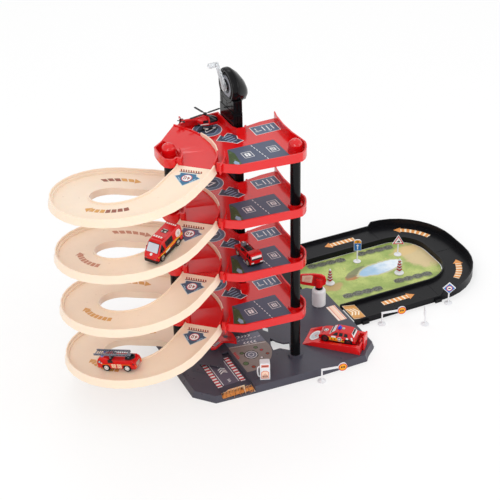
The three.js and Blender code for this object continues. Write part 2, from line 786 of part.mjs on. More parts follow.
function makeBoard() {
  const skin = boardWall / 2;
  const floor = boardHeight - boardWall;
  const hollow = boardBody(boardWall, floor);
  const lowered = roadCutter(skin, skin);
  let board = boardBody(0, boardHeight).subtract(hollow.subtract(lowered)).subtract(roadCutter(0, 0));
  const outline = boardBody(boardWall / 2, boardHeight - boardWall / 2);
  for (const share of ribXShares) {
    const x = share * boardLength;
    board = board.add(block(x, x + skin, -boardDepth, boardDepth, 0, floor + skin / 2).intersect(outline)
      .subtract(roadCutter(skin / 2, 0)));
  }
  for (const share of ribYShares) {
    const y = share * boardDepth;
    board = board.add(block(-boardLength, boardLength, y, y + skin, 0, floor + skin / 2).intersect(outline)
      .subtract(roadCutter(skin / 2, 0)));
  }
  for (const shares of [openingShares, slitShares]) {
    board = board.subtract(plate(pointsFrom(shares, boardLength, boardDepth), -overrun,
      boardHeight + overrun));
  }
  const [bedHalfLength, bedHalfWidth] = [launcherLength / 2 + seatGap, launcherWidth / 2 + seatGap];
  board = board.subtract(launcherPlaced(block(-bedHalfLength, bedHalfLength, -bedHalfWidth, bedHalfWidth,
    boardHeight - launcherSink, boardHeight + overrun)));
  board = board.add(boardLanding());
  for (const [x, y] of [[0, 0], [leftPillarX, leftPillarY]]) {
    const socketRadius = pillarRadius + seatGap + socketWall;
    board = board.add(moved(drum(socketRadius, 0, boardHeight + socketHeight), x, y, 0));
    board = board.subtract(moved(drum(pillarRadius + seatGap, boardHeight, 2 * boardHeight), x, y, 0));
    board = board.add(moved(drum(spigotRadius, boardHeight - skin, boardHeight + spigotLength), x, y, 0));
  }
  board = joined(board, towerFoot(), moved(drum(spannerPin, 0, spannerLift + spannerThickness + seatGap),
    spannerX, spannerY, boardHeight - seatGap));
  addPiece('base_board', board, 'slate');
}

// The lowest landing, which leads the last ramp down to the road on the board.
function boardLanding() {
  const sunk = boardHeight - boardWall / 2;
  const slab = landingSlab(boardHeight, seatGap, -boardWall / 2);
  return joined(slab, landingRim(boardHeight, sunk)).subtract(roadCutter(0, 0)).subtract(
    block(-boardLength, boardLength, -boardDepth, boardDepth, -boardHeight, sunk));
}

function towerFoot() {
  const grow = seatGap + footWall;
  const left = towerRight - towerWidth;
  const back = towerFront + towerDepth;
  return block(left - grow, towerRight + seatGap, towerFront - ribDepth - grow, back + grow,
    boardHeight - seatGap, boardHeight + footHeight).subtract(
    block(left - seatGap, towerRight + footWall, towerFront - ribDepth - seatGap, back + seatGap,
      boardHeight, boardHeight + footHeight + overrun));
}

// The gate by the road: a round post with a neck, and a board that swings on it.
function makeGate() {
  const top = boardHeight + postHeight;
  const neckTop = top + neckHeight;
  const pinTop = neckTop + armHeight / 2;
  addPiece('gate_post', moved(turned([
    [0, boardHeight + seatGap], [postRadius, boardHeight + seatGap], [postRadius, top - postRound],
    [postRadius - postRound / 3, top - postRound / 3], [postRadius - postRound, top], [neckRadius, top],
    [neckRadius, neckTop], [neckPin, neckTop], [neckPin, pinTop], [0, pinTop],
  ]), postX, postY, 0), 'white');
  const low = neckTop + seatGap;
  const board = prismY(pointsFrom(armShares, armLength, armHeight, 0, low + armHeight / 2),
    -armThickness / 2, armThickness / 2);
  const hub = drum(neckRadius, low, low + armHeight * 0.62);
  const arm = joined(board, hub).subtract(drum(neckPin + seatGap, low - overrun, pinTop + seatGap));
  addPiece('gate_arm', moved(arm.rotate([0, 0, armTurn / degrees - 180]), postX, postY, 0), 'red');
}

// The spanner-shaped barrier that turns flat over the foot of the last landing.
function makeSpanner() {
  const low = boardHeight + spannerLift;
  const body = plate(pointsFrom(spannerShares, spannerLength, spannerWidth), low, low + spannerThickness);
  const bored = body.subtract(drum(spannerPin + seatGap, low - overrun, low + spannerThickness + overrun));
  const swung = bored.rotate([0, 0, spannerTurn / degrees]);
  addPiece('spanner_gate', moved(swung, spannerX, spannerY, 0), 'red');
}

// Launcher: a trough for one car, a sprung slider under its bed and a pull tab behind.
function makeLauncher() {
  const floor = boardHeight - launcherSink + seatGap;
  const half = launcherLength / 2;
  const slopeX = half - launcherLength * (1 - launcherSlopeShare);
  const side = prismY([[-half, floor], [half, floor], [half, floor + launcherLip],
    [slopeX, floor + launcherMid], [-half, floor + launcherBack]], -launcherWidth / 2, launcherWidth / 2);
  const inner = launcherWidth / 2 - launcherWall;
  const bed = prismY([[-half + launcherBackWall, floor + launcherBed], [slopeX, floor + launcherBed],
    [half + overrun, floor + launcherLip / 2], [half + overrun, floor + 2 * launcherBack],
    [-half + launcherBackWall, floor + 2 * launcherBack]], -inner, inner);
  const channel = sliderWidth / 2 + slideGap;
  const sliderTop = floor + launcherWall / 4 + sliderHeight;
  const front = -half + sliderReach + springLength;
  const tunnel = block(-half - overrun, front, -channel, channel, floor - overrun, sliderTop + slideGap);
  const slot = block(-half - overrun, -half + launcherBackWall + 2 * lugThickness, -channel, channel,
    floor - overrun, floor + 2 * launcherBack);
  addPiece('launcher_base', launcherPlaced(side.subtract(bed).subtract(tunnel).subtract(slot)), 'red');
  const low = sliderTop - sliderHeight;
  const tabX = -half - launcherBackWall - slideGap;
  const lugX = -half + launcherBackWall + slideGap;
  addPiece('launcher_slider', launcherPlaced(joined(
    block(tabX, -half + sliderReach, -sliderWidth / 2, sliderWidth / 2, low, sliderTop),
    block(lugX, lugX + lugThickness, -sliderWidth / 2, sliderWidth / 2, low,
      floor + launcherBed + lugHeight),
    block(tabX, tabX + lugThickness, -tabWidth / 2, tabWidth / 2, low, low + tabHeight))), 'red');
  addPiece('launcher_spring', launcherPlaced(drumAlongX(springRadius, -half + sliderReach + seatGap,
    front - seatGap, 0, floor + springRadius + seatGap, 8)), 'steel');
}

// Fuel pump: a body, a wider head and the hose at its side.
const pumpX = -75;
const pumpY = -34;
const pumpWidth = 17;
const pumpDepth = 13;
const pumpHeight = 34;
const pumpHeadShare = 0.62;
const pumpTurn = -22;
const hoseRadius = 1.3;

function makePump() {
  const low = boardHeight + seatGap;
  const neck = low + pumpHeight * pumpHeadShare;
  const [w, d] = [pumpWidth / 2, pumpDepth / 2];
  const chamfer = pumpWidth * 0.08;
  const top = low + pumpHeight;
  const body = prismY([[-w, low], [w, low], [w, neck - chamfer], [w - chamfer, neck], [w, neck + chamfer],
    [w, top - chamfer], [w - chamfer, top], [-w + chamfer, top], [-w, top - chamfer],
    [-w, neck + chamfer], [-w + chamfer, neck], [-w, neck - chamfer]], -d, d);
  const curve = new THREE.CatmullRomCurve3([
    [-w + chamfer, neck + 2 * chamfer], [-w - 2 * chamfer, neck + chamfer],
    [-w - 2.6 * chamfer, low + pumpHeight * 0.3], [-w - chamfer, low + chamfer * 2],
    [-w + chamfer, low + chamfer * 3],
  ].map(([x, z]) => new THREE.Vector3(x, 0, z)));
  const round = new THREE.Shape();
  round.absarc(0, 0, hoseRadius, 0, 2 * Math.PI);
  const hose = solidOf(new THREE.ExtrudeGeometry(round,
    { steps: 12, curveSegments: 4, extrudePath: curve }));
  addPiece('fuel_pump', moved(joined(body, hose).rotate([0, 0, pumpTurn]), pumpX, pumpY, 0), 'white');
}

// A road section: floor and two walls, open below, with the outer wall of its own height.
function trackSection(outerWall, floor) {
  const half = trackWidth / 2;
  const inner = half - trackWall;
  const under = floor - trackSkin;
  return [
    [-half, 0], [-inner, 0], [-inner, under], [inner, under], [inner, 0], [half, 0],
    [half, outerWall], [inner + trackWall * 0.2, outerWall], [inner, floor], [-inner, floor],
    [-inner, trackHeight], [-half, trackHeight],
  ];
}

function straightTrack(x0, x1, y, facing, floors) {
  const stations = [x0, x1].map((x) => ({ x, y, z: 0, angle: facing }));
  return sweep((i) => trackSection(trackHeight, floors[i]), stations);
}

// A quarter curve with straight leads, from one axis direction to the next.
function curveTrack(x, y, from, to, leadIn, leadOut, floorOut, wallOut) {
  const radius = trackInner + trackWidth / 2;
  const places = arc(x, y, radius, from, to, trackSteps);
  const turn = Math.sign(to - from);
  const ahead = (angle) => [-Math.sin(angle) * turn, Math.cos(angle) * turn];
  const [sx, sy] = ahead(from);
  const [ex, ey] = ahead(to);
  const stations = [
    { x: places[0][0] - sx * leadIn, y: places[0][1] - sy * leadIn, z: 0, angle: from },
    ...places.map(([px, py], i) => ({ x: px, y: py, z: 0, angle: from + (to - from) * i / trackSteps })),
    { x: places[trackSteps][0] + ex * leadOut, y: places[trackSteps][1] + ey * leadOut, z: 0, angle: to },
  ];
  const last = stations.length - 1;
  return sweep((i) => {
    const wallShare = i === 0 ? 0 : 1;
    const walled = i === last ? wallOut : trackHeight + (curveHeight - trackHeight) * wallShare;
    return trackSection(walled, i === last ? floorOut : trackFloor);
  }, stations);
}

function clip(x, y) {
  return block(x - clipLength / 2, x + clipLength / 2 - 2 * seatGap, y - clipDepth, y + seatGap, 0,
    trackHeight * 0.6);
}

function makeTrack() {
  const half = trackWidth / 2;
  const frontLine = trackFront + half;
  const backLine = trackBack + half;
  const ramped = boardHeight - seatGap;
  const halfway = (curveHighY - curveLowY) / 2;
  const south = -Math.PI / 2;
  const north = Math.PI / 2;
  const rearLead = rearRun - seatGap;
  const entry = straightTrack(trackStart, entryEnd - seatGap, frontLine, south, [ramped, trackFloor]);
  addPiece('track_entry', entry.add(clip(entryEnd - clipLength / 2, trackFront)), 'road');
  addPiece('track_straight_front', straightTrack(entryEnd, straightEnd - seatGap,
    frontLine, south, [trackFloor, trackFloor]).add(clip(straightEnd - clipLength / 2, trackFront)),
  'road');
  addPiece('track_curve_front', curveTrack(curveX, curveLowY, south, 0, curveLead, halfway - seatGap,
    trackFloor, curveHeight), 'road');
  addPiece('track_curve_back', curveTrack(curveX, curveHighY, north, 0, curveLead, halfway,
    trackFloor, curveHeight), 'road');
  addPiece('track_straight_back', straightTrack(entryEnd, straightEnd - seatGap,
    backLine, north, [trackFloor, trackFloor]), 'road');
  addPiece('track_curve_rear', curveTrack(rearX, curveHighY, north, Math.PI, curveLead - seatGap, rearLead,
    ramped, trackHeight), 'road');
}

function makeMat() {
  const radius = trackInner - matGap;
  const front = curveLowY - radius;
  const board = pointsFrom(boardShares, boardLength, boardDepth);
  const outline = [
    [trackStart + matGap, front],
    ...arc(curveX, curveLowY, radius, -Math.PI / 2, 0, trackSteps),
    ...arc(curveX, curveHighY, radius, 0, Math.PI / 2, trackSteps),
    ...arc(rearX, curveHighY, radius, Math.PI / 2, Math.PI, trackSteps),
    [rearX - radius, board[11][1] + matGap],
    [board[11][0] + matGap, board[11][1] + matGap],
    [board[10][0] + 1.2 * matGap, board[10][1] + 1.2 * matGap],
    [board[9][0] + 1.3 * matGap, board[9][1] + matGap / 2],
    [trackStart + matGap, board[9][1]],
  ];
  addPiece('play_mat', plate(outline, 0, matThickness), 'green');
}

function stand(height) {
  return turned([[0, 0], [discRadius, 0], [discRadius, discHeight * 0.5], [discRadius * 0.5, discHeight],
    [poleRadius, discHeight * 1.5], [poleRadius, height], [0, height]], 12);
}

function signBoard(points, poleHeight) {
  return prismY(points, -signThickness / 2 - poleRadius, -poleRadius + signThickness / 2 + poleRadius / 2)
    .add(stand(poleHeight));
}

function placed(name, solid, [x, y], z, turn, paint) {
  addPiece(name, moved(solid.rotate([0, 0, turn / degrees + 90]), x, y, z), paint);
}

// A place on the mat, by shares of its length and depth.
function onMatAt([u, v]) {
  const front = trackFront + trackWidth;
  return [trackStart + u * (curveX + trackInner - trackStart), front + v * (trackBack - front)];
}

// A place in front of the road, by a share of its front run and a distance from its edge.
function byRoad(share, aside) {
  return [trackStart + share * (straightEnd - trackStart), trackFront - aside];
}

const infoWidth = 14;
const infoHeight = 24;
const infoTop = 50;
const triangleSide = 23;
const triangleTop = 45;
const diamondHalf = 12;
const diamondTop = 46;
const smallWidth = 13;
const smallTop = 36;
const armTop = 25;
const armReach = 36;
const armDisc = 8;
const infoSpotShares = [0.436, 0.79];
const warningSpotShares = [0.769, 0.704];
const coneSpotShares = [[0.099, 0.519], [0.643, 0.346]];
const diamondSpotShare = 1.039;
const diamondAside = 13;
const smallSpotShare = 0.636;
const smallAside = 51;
const armSpotShare = 0.256;
const armAside = 16;
const cornerSpotShares = [0.041, -0.3];
const armFacing = signFacing + 12 * degrees;

function makeSigns() {
  const onMat = matThickness + seatGap;
  const half = infoWidth / 2;
  const bottom = infoTop - infoHeight;
  placed('info_sign', signBoard([[-half, bottom], [half, bottom], [half, infoTop - half / 2],
    [half / 2, infoTop], [-half / 2, infoTop], [-half, infoTop - half / 2]], infoTop - half / 2),
  onMatAt(infoSpotShares), onMat, signFacing, 'white');
  const rise = triangleSide * Math.sqrt(3) / 2;
  const foot = triangleTop - rise;
  placed('warning_sign', signBoard([[-triangleSide / 2, foot], [triangleSide / 2, foot], [0, triangleTop]],
    triangleTop - rise / 2), onMatAt(warningSpotShares), onMat, signFacing, 'white');
  const centre = diamondTop - diamondHalf;
  placed('diamond_sign', signBoard([[0, centre - diamondHalf], [diamondHalf, centre], [0, diamondTop],
    [-diamondHalf, centre]], centre), byRoad(diamondSpotShare, diamondAside), 0, signFacing, 'white');
  placed('small_sign', signBoard([[-smallWidth / 2, smallTop / 2], [smallWidth / 2, smallTop / 2],
    [smallWidth / 2, smallTop], [-smallWidth / 2, smallTop]], smallTop - smallWidth / 2),
  byRoad(smallSpotShare, smallAside), 0, signFacing - Math.PI / 2, 'white');
  const board = arc(armReach, armTop, armDisc, 0, 2 * Math.PI, roundSides).slice(0, -1);
  const armSign = signBoard(board, armTop).add(prismY([[-poleRadius, armTop - 2 * poleRadius],
    [armReach, armTop - poleRadius], [armReach, armTop + poleRadius], [-poleRadius, armTop]],
  -poleRadius, poleRadius));
  const [corner] = pointsFrom([cornerSpotShares], boardLength, boardDepth);
  placed('arm_sign_1', armSign, corner, 0, armFacing, 'white');
  placed('arm_sign_2', armSign, byRoad(armSpotShare, armAside), 0, armFacing, 'white');
  for (const [i, [x, y]] of coneSpotShares.map(onMatAt).entries()) {
    addPiece(`cone_${i + 1}`, moved(turned([[0, 0], [coneRadius, 0], [coneRadius, coneHeight * 0.06],
      [coneRadius * 0.62, coneHeight * 0.16], [coneRadius * 0.2, coneHeight * 0.96],
      [coneRadius * 0.12, coneHeight], [0, coneHeight]], 12), x, y, onMat), 'white');
  }
}

// A small vehicle stands on its wheels at z = 0, nose to +X, middle over the origin.
function bodyFrom(shares, length, height, width) {
  return prismY(pointsFrom(shares, length, height), -width / 2, width / 2);
}

function wheelPair(x, width, radius = wheelRadius) {
  const half = width / 2;
  return joined(
    drumAlongY(radius, -half, -half + wheelWidth, x, radius, wheelSides),
    drumAlongY(radius, half - wheelWidth, half, x, radius, wheelSides),
    drumAlongY(axleRadius, -half + wheelWidth / 2, half - wheelWidth / 2, x, radius, 8));
}

function wheelRoom(x, width, radius = wheelRadius) {
  const half = width / 2;
  const room = wheelWidth + 2 * slideGap;
  return joined(
    drumAlongY(radius + slideGap, -half - overrun, -half + room, x, radius, wheelSides),
    drumAlongY(radius + slideGap, half - room, half + overrun, x, radius, wheelSides),
    drumAlongY(axleRadius + slideGap, -half, half, x, radius, 8));
}

// Where a vehicle stands on a ramp: turned to its heading, pitched to the slope and clear of it.
function standOnRamp(group, number, x, y, heading, wheelbase, width) {
  const [fx, fy] = [Math.cos(heading), Math.sin(heading)];
  const height = (along, side) => rampHeight(number, x + fx * along - fy * side,
    y + fy * along + fx * side);
  const half = wheelbase / 2;
  const side = width / 2;
  const front = Math.max(height(half, side), height(half, -side));
  const rear = Math.max(height(-half, side), height(-half, -side));
  group.position.set(x, y, (front + rear) / 2 + rampClearance);
  group.rotation.set(0, Math.atan2(rear - front, wheelbase), heading, 'ZYX');
}

const vanLength = 70;
const vanWidth = 28;
const vanHeight = 33;
const vanBase = 42;
const vanX = -236;
const vanY = -14.5;
const vanHeading = 213 * degrees;
const vanShares = [[-0.5, 0.14], [0.49, 0.14], [0.5, 0.4], [0.42, 0.56], [0.26, 0.96], [0.2, 1],
  [-0.46, 1], [-0.5, 0.9]];
const engineLength = 70;
const engineWidth = 25;
const engineHeight = 26;
const engineBase = 38;
const engineX = -314;
const engineY = 10;
const engineHeading = 135 * degrees;
const engineShares = [[-0.5, 0.2], [0.5, 0.2], [0.5, 0.62], [0.46, 1], [0.2, 1], [0.18, 0.74],
  [-0.5, 0.74]];
const ladderLength = 62;
const ladderWidth = 13;
const ladderHeight = 2.4;
const ladderRungs = 7;
const ladderPost = 3.4;

function makeVan() {
  const group = new THREE.Group();
  standOnRamp(group, 2, vanX, vanY, vanHeading, vanBase, vanWidth);
  model.add(group);
  let body = bodyFrom(vanShares, vanLength, vanHeight, vanWidth);
  for (const x of [vanBase / 2, -vanBase / 2]) body = body.subtract(wheelRoom(x, vanWidth));
  const bar = block(vanLength * 0.06, vanLength * 0.16, -vanWidth * 0.36, vanWidth * 0.36,
    vanHeight - overrun, vanHeight * 1.09);
  addPiece('van_body', body.add(bar), 'red', group);
  for (const [name, x] of [['van_front_axle', vanBase / 2], ['van_rear_axle', -vanBase / 2]]) {
    const axle = addPiece(name, moved(wheelPair(0, vanWidth), 0, 0, -wheelRadius), 'black', group);
    axle.position.set(x, 0, wheelRadius);
  }
}

function makeEngine() {
  const group = new THREE.Group();
  standOnRamp(group, 4, engineX, engineY, engineHeading, engineBase, engineWidth);
  model.add(group);
  const body = bodyFrom(engineShares, engineLength, engineHeight, engineWidth);
  const bed = engineHeight * 0.74;
  const pivotX = -engineLength * 0.32;
  const mast = moved(drum(ladderPost * 2, 0, ladderPost * 2, 12), pivotX, 0, bed - overrun);
  const slot = block(pivotX - 2 * ladderPost - overrun, pivotX + 3 * ladderPost, -ladderPost, ladderPost,
    bed + overrun, bed + 3 * ladderPost);
  const bar = block(engineLength * 0.3, engineLength * 0.38, -engineWidth * 0.38, engineWidth * 0.38,
    engineHeight - overrun, engineHeight * 1.03);
  addPiece('fire_engine_body', joined(body, wheelPair(engineBase / 2, engineWidth),
    wheelPair(-engineBase / 2, engineWidth), bar, mast.subtract(slot)), 'red', group);
  const pivotZ = bed + ladderPost * 1.3;
  const rail = (side) => block(0, ladderLength, side * ladderWidth / 2 - ladderHeight / 2,
    side * ladderWidth / 2 + ladderHeight / 2, ladderPost, ladderPost + ladderHeight * 1.3);
  let ladder = joined(rail(1), rail(-1));
  for (let i = 0; i <= ladderRungs; i += 1) {
    const x = ladderLength * (i + 0.3) / (ladderRungs + 0.8);
    ladder = ladder.add(block(x, x + ladderHeight, -ladderWidth / 2, ladderWidth / 2, ladderPost,
      ladderPost + ladderHeight));
  }
  ladder = joined(ladder, block(0, ladderPost * 1.2, -ladderWidth / 2, ladderWidth / 2, ladderPost,
    ladderPost + ladderHeight), block(-ladderPost * 0.7, ladderPost * 0.7, -ladderPost + slideGap,
    ladderPost - slideGap, 0, ladderPost + overrun));
  const mesh = addPiece('fire_engine_ladder', ladder, 'grey', group);
  mesh.position.set(pivotX, 0, pivotZ);
}

const craneShares = [[-0.5, 0.24], [0.5, 0.24], [0.5, 0.6], [0.44, 0.92], [0.22, 0.92], [0.18, 0.56],
  [-0.5, 0.56]];
const craneLength = 60;
const craneWidth = 24;
const craneHeight = 28;
const craneBase = 36;
const craneSpotShares = [-0.444, 0.158];
const craneHeading = 272;
const gearShares = [-0.16, -0.14];
const gearWidth = 7;

// The truck stands on the third deck with its lifting gear folded behind the cab.
function makeCraneTruck() {
  const deck = craneHeight * 0.56;
  const [[gearX, gearY]] = pointsFrom([gearShares], craneLength, craneWidth);
  const turntable = block(gearX - gearWidth, gearX + gearWidth, gearY - gearWidth, gearY + gearWidth,
    deck - overrun, deck + gearWidth / 2);
  const folded = block(gearX, craneLength * 0.2, gearY - gearWidth / 2, gearY + gearWidth, deck - overrun,
    craneHeight * 0.84);
  const joint = block(gearX - gearWidth, gearX + gearWidth / 2, gearY - gearWidth / 2,
    gearY + gearWidth / 2, deck, craneHeight);
  const truck = joined(bodyFrom(craneShares, craneLength, craneHeight, craneWidth),
    wheelPair(craneBase / 2, craneWidth), wheelPair(-craneBase / 2, craneWidth),
    turntable, folded, joint);
  const [[x, y]] = pointsFrom([craneSpotShares], deckWidth, deckDepth);
  addPiece('crane_truck', moved(truck.rotate([0, 0, craneHeading]), x, y, deckLevel(3) + seatGap), 'red');
}

const carShares = [[-0.5, 0.2], [0.46, 0.16], [0.5, 0.36], [0.44, 0.52], [0.2, 0.62], [0.04, 0.98],
  [-0.3, 1], [-0.46, 0.7], [-0.5, 0.62]];
const carLength = 68;
const carWidth = 30;
const carHeight = 24;
const carBase = 42;
const carSet = -7;

function makeCar() {
  const floor = boardHeight - launcherSink + 2 * seatGap + launcherBed;
  const lamp = block(-carLength * 0.14, -carLength * 0.04, -carWidth * 0.28, carWidth * 0.28,
    carHeight - overrun, carHeight * 1.16);
  const car = joined(bodyFrom(carShares, carLength, carHeight, carWidth), lamp,
    wheelPair(carBase / 2, carWidth), wheelPair(-carBase / 2, carWidth));
  const room = block(-carLength, -carLength / 2 + lugThickness * 1.5, -sliderWidth, sliderWidth, -overrun,
    lugHeight + 2 * overrun);
  addPiece('race_car', launcherPlaced(moved(car.subtract(room), carSet, 0, floor)), 'red');
}

const heliLength = 66;
const heliWidth = 18;
const heliHeight = 25;
const heliX = -102;
const heliY = 139;
const heliHeading = -8;
const rotorReach = 31;
const rotorBlade = 4;
const rotorThickness = 1.2;
const heliShares = [[-0.08, 0.28], [0.1, 0.12], [0.34, 0.14], [0.48, 0.34], [0.42, 0.6], [0.26, 0.84],
  [0.02, 0.9], [-0.1, 0.84], [-0.42, 0.8], [-0.5, 1.1], [-0.56, 1.1], [-0.54, 0.66], [-0.12, 0.6]];

function makeHelicopter() {
  const skidZ = heliHeight * 0.06;
  const skid = (side) => block(-heliLength * 0.14, heliLength * 0.36, side - 1.2 * axleRadius / 2,
    side + 1.2 * axleRadius / 2, 0, 2 * skidZ);
  const strut = (x) => block(x, x + axleRadius, -heliWidth * 0.55, heliWidth * 0.55, skidZ,
    heliHeight * 0.24);
  const mastX = heliLength * 0.12;
  const mastTop = heliHeight;
  const body = joined(bodyFrom(heliShares, heliLength, heliHeight, heliWidth * 0.5),
    bodyFrom(heliShares.slice(0, 8), heliLength, heliHeight, heliWidth),
    skid(heliWidth * 0.55), skid(-heliWidth * 0.55), strut(0), strut(heliLength * 0.24),
    moved(drum(2 * axleRadius, 0, mastTop - heliHeight * 0.7 - seatGap, 10), mastX, 0, heliHeight * 0.7),
    moved(drum(axleRadius / 1.5, 0, rotorThickness * 2, 8), mastX, 0, mastTop - 2 * seatGap));
  const group = new THREE.Group();
  group.position.set(heliX, heliY, deckLevel(1) + seatGap);
  group.rotation.set(0, 0, heliHeading * degrees);
  model.add(group);
  addPiece('helicopter_body', body, 'red', group);
  const blade = (turn) => block(-rotorReach, rotorReach, -rotorBlade / 2, rotorBlade / 2, 0, rotorThickness)
    .rotate([0, 0, turn]);
  const rotor = joined(blade(20), blade(110), drum(2 * axleRadius, 0, rotorThickness * 1.5, 10))
    .subtract(drum(axleRadius / 1.5 + seatGap, -overrun, 2 * rotorThickness, 8));
  const mesh = addPiece('helicopter_rotor', rotor, 'black', group);
  mesh.position.set(mastX, 0, mastTop);
}

makeBoard();
for (let number = 1; number <= deckCount; number += 1) {
  makeDeck(number);
  makeRamp(number);
  makeGuard(number);
  makePillar(`left_pillar_${number}`, leftPillarX, leftPillarY, number);
  makePillar(`right_pillar_${number}`, 0, 0, number);
}
makeCap('pillar_cap_left', leftPillarX, leftPillarY);
makeCap('pillar_cap_right', 0, 0);
makeTower();
makeHead();
makePlatform();
makeGate();
makeSpanner();
makeLauncher();
makePump();
makeTrack();
makeMat();
makeSigns();
makeHelicopter();
makeVan();
makeEngine();
makeCraneTruck();
makeCar();

export default model;
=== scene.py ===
import json
import math

import bmesh
import bpy
from mathutils import Matrix, Vector
from mathutils.bvhtree import BVHTree

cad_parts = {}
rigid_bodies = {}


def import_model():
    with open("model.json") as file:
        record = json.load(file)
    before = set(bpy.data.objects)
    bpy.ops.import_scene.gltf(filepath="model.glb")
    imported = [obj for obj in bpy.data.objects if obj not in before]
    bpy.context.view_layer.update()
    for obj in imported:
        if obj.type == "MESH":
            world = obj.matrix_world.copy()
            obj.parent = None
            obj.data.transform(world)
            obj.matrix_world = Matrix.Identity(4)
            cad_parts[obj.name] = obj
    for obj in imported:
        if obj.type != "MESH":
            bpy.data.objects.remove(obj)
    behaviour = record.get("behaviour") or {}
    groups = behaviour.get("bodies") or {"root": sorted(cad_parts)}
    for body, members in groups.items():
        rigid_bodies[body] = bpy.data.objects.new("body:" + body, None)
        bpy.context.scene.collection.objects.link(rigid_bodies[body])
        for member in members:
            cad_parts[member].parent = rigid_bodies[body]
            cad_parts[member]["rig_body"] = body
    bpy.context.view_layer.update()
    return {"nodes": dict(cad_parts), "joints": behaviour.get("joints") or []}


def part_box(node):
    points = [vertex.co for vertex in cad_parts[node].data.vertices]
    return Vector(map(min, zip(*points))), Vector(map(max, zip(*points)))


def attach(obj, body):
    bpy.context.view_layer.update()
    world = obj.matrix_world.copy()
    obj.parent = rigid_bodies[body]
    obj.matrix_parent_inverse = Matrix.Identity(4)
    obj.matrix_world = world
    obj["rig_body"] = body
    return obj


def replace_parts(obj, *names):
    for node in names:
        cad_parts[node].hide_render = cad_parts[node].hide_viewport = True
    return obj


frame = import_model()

# Camera. It stands in front of the ramps and looks down over them to the road loop, as the
# photograph was taken. Its place and turn come from the pillars and the edges of the decks.
mm = 0.001
eye = Vector((-873.84, -1717.83, 1440.56)) * mm
eye_right = Vector((0.90354, -0.42815, -0.01716))
eye_up = Vector((0.24121, 0.47512, 0.84621))
eye_back = Vector((-0.35415, -0.76873, 0.53257))
scene = bpy.context.scene
lens = bpy.data.cameras.new("photo_camera")
lens.sensor_width = 36
lens.lens = 99.33
camera = bpy.data.objects.new("photo_camera", lens)
camera.matrix_world = Matrix((eye_right, eye_up, eye_back)).transposed().to_4x4()
camera.location = eye
scene.collection.objects.link(camera)
scene.camera = camera
scene.view_settings.view_transform = "Standard"


# Floor and light. The toy stands on a plain white sheet under large soft lamps. The sheet
# keeps the shadow of the toy and is shown to the camera nearly white.
class Value:
    """A socket of a finish. Reckoning with it adds the Math nodes that do the sum."""

    def __init__(self, finish, socket):
        self.finish = finish
        self.socket = socket

    def maths(self, operation, *others):
        sockets = dict(enumerate((self, *others)))
        return self.finish.node("ShaderNodeMath", {"operation": operation}, sockets)

    def __add__(self, other):
        return self.maths("ADD", other)

    def __mul__(self, other):
        return self.maths("MULTIPLY", other)

    def __sub__(self, other):
        return self.maths("SUBTRACT", other)

    def __rsub__(self, other):
        return self * -1 + other

    def __truediv__(self, other):
        return self.maths("DIVIDE", other)

    def __mod__(self, other):
        return self.maths("FLOORED_MODULO", other)

    def __abs__(self):
        return self.maths("ABSOLUTE")

    def __lt__(self, other):
        return self.maths("LESS_THAN", other)

    def __gt__(self, other):
        return self.maths("GREATER_THAN", other)

    __radd__ = __add__
    __rmul__ = __mul__

    def within(self, low, high):
        """How far the value has come from low to high, from 0 to 1, with soft ends."""
        settings = {"interpolation_type": "SMOOTHSTEP"}
        sockets = {0: self, 1: low, 2: high, 3: 0.0, 4: 1.0}
        return self.finish.node("ShaderNodeMapRange", settings, sockets)


class Finish:
    """One material: a Principled shader and the nodes that feed it."""

    def __init__(self, name, **sockets):
        self.material = bpy.data.materials.new(name)
        self.material.use_nodes = True
        self.tree = self.material.node_tree
        self.shader = self.tree.nodes["Principled BSDF"]
        for words, value in sockets.items():
            self.set(words.replace("_", " ").title().replace("Ior", "IOR"), value)

    def feed(self, socket, value):
        if isinstance(value, Value):
            self.tree.links.new(value.socket, socket)
        else:
            socket.default_value = value

    def set(self, words, value):
        self.feed(self.shader.inputs[words], value)

    def node(self, kind, settings=None, sockets=None, output=0):
        made = self.tree.nodes.new(kind)
        for word, value in (settings or {}).items():
            setattr(made, word, value)
        for key, value in (sockets or {}).items():
            self.feed(made.inputs[key], value)
        return Value(self, made.outputs[output])

    def place(self):
        """The point of the surface, in metres, in the frame at rest."""
        return self.node("ShaderNodeTexCoord", output="Object")

    def noise(self, size, detail=2, roughness=0.5):
        """Cloudy noise from 0 to 1 with blots about that many millimetres wide."""
        sockets = {"Vector": self.place(), "Scale": 1000 / size, "Detail": detail,
                   "Roughness": roughness}
        return self.node("ShaderNodeTexNoise", sockets=sockets)

    def mix(self, share, first, second):
        """The first colour where share is 0 and the second where it is 1."""
        sockets = {0: share, 6: first, 7: second}
        return self.node("ShaderNodeMix", {"data_type": "RGBA"}, sockets, 2)

    def bump(self, height, depth, strength):
        sockets = {"Height": height, "Distance": depth * mm, "Strength": strength}
        self.set("Normal", self.node("ShaderNodeBump", sockets=sockets))

    def shade(self, colour, share, size):
        """The base colour: one a little darker to one a little lighter, in blots of that size."""
        dark, light = ([min(1.0, part * way) for part in linear(*colour)[:3]] + [1.0]
                       for way in (1 - share, 1 + share))
        self.set("Base Color", self.mix(self.noise(size, 3), dark, light))


def linear(*screen):
    """A colour read off a screen, 0 to 255, as the shader wants it."""
    shares = [value / 255 for value in screen]
    return (*(s / 12.92 if s <= 0.04045 else ((s + 0.055) / 1.055) ** 2.4 for s in shares), 1.0)


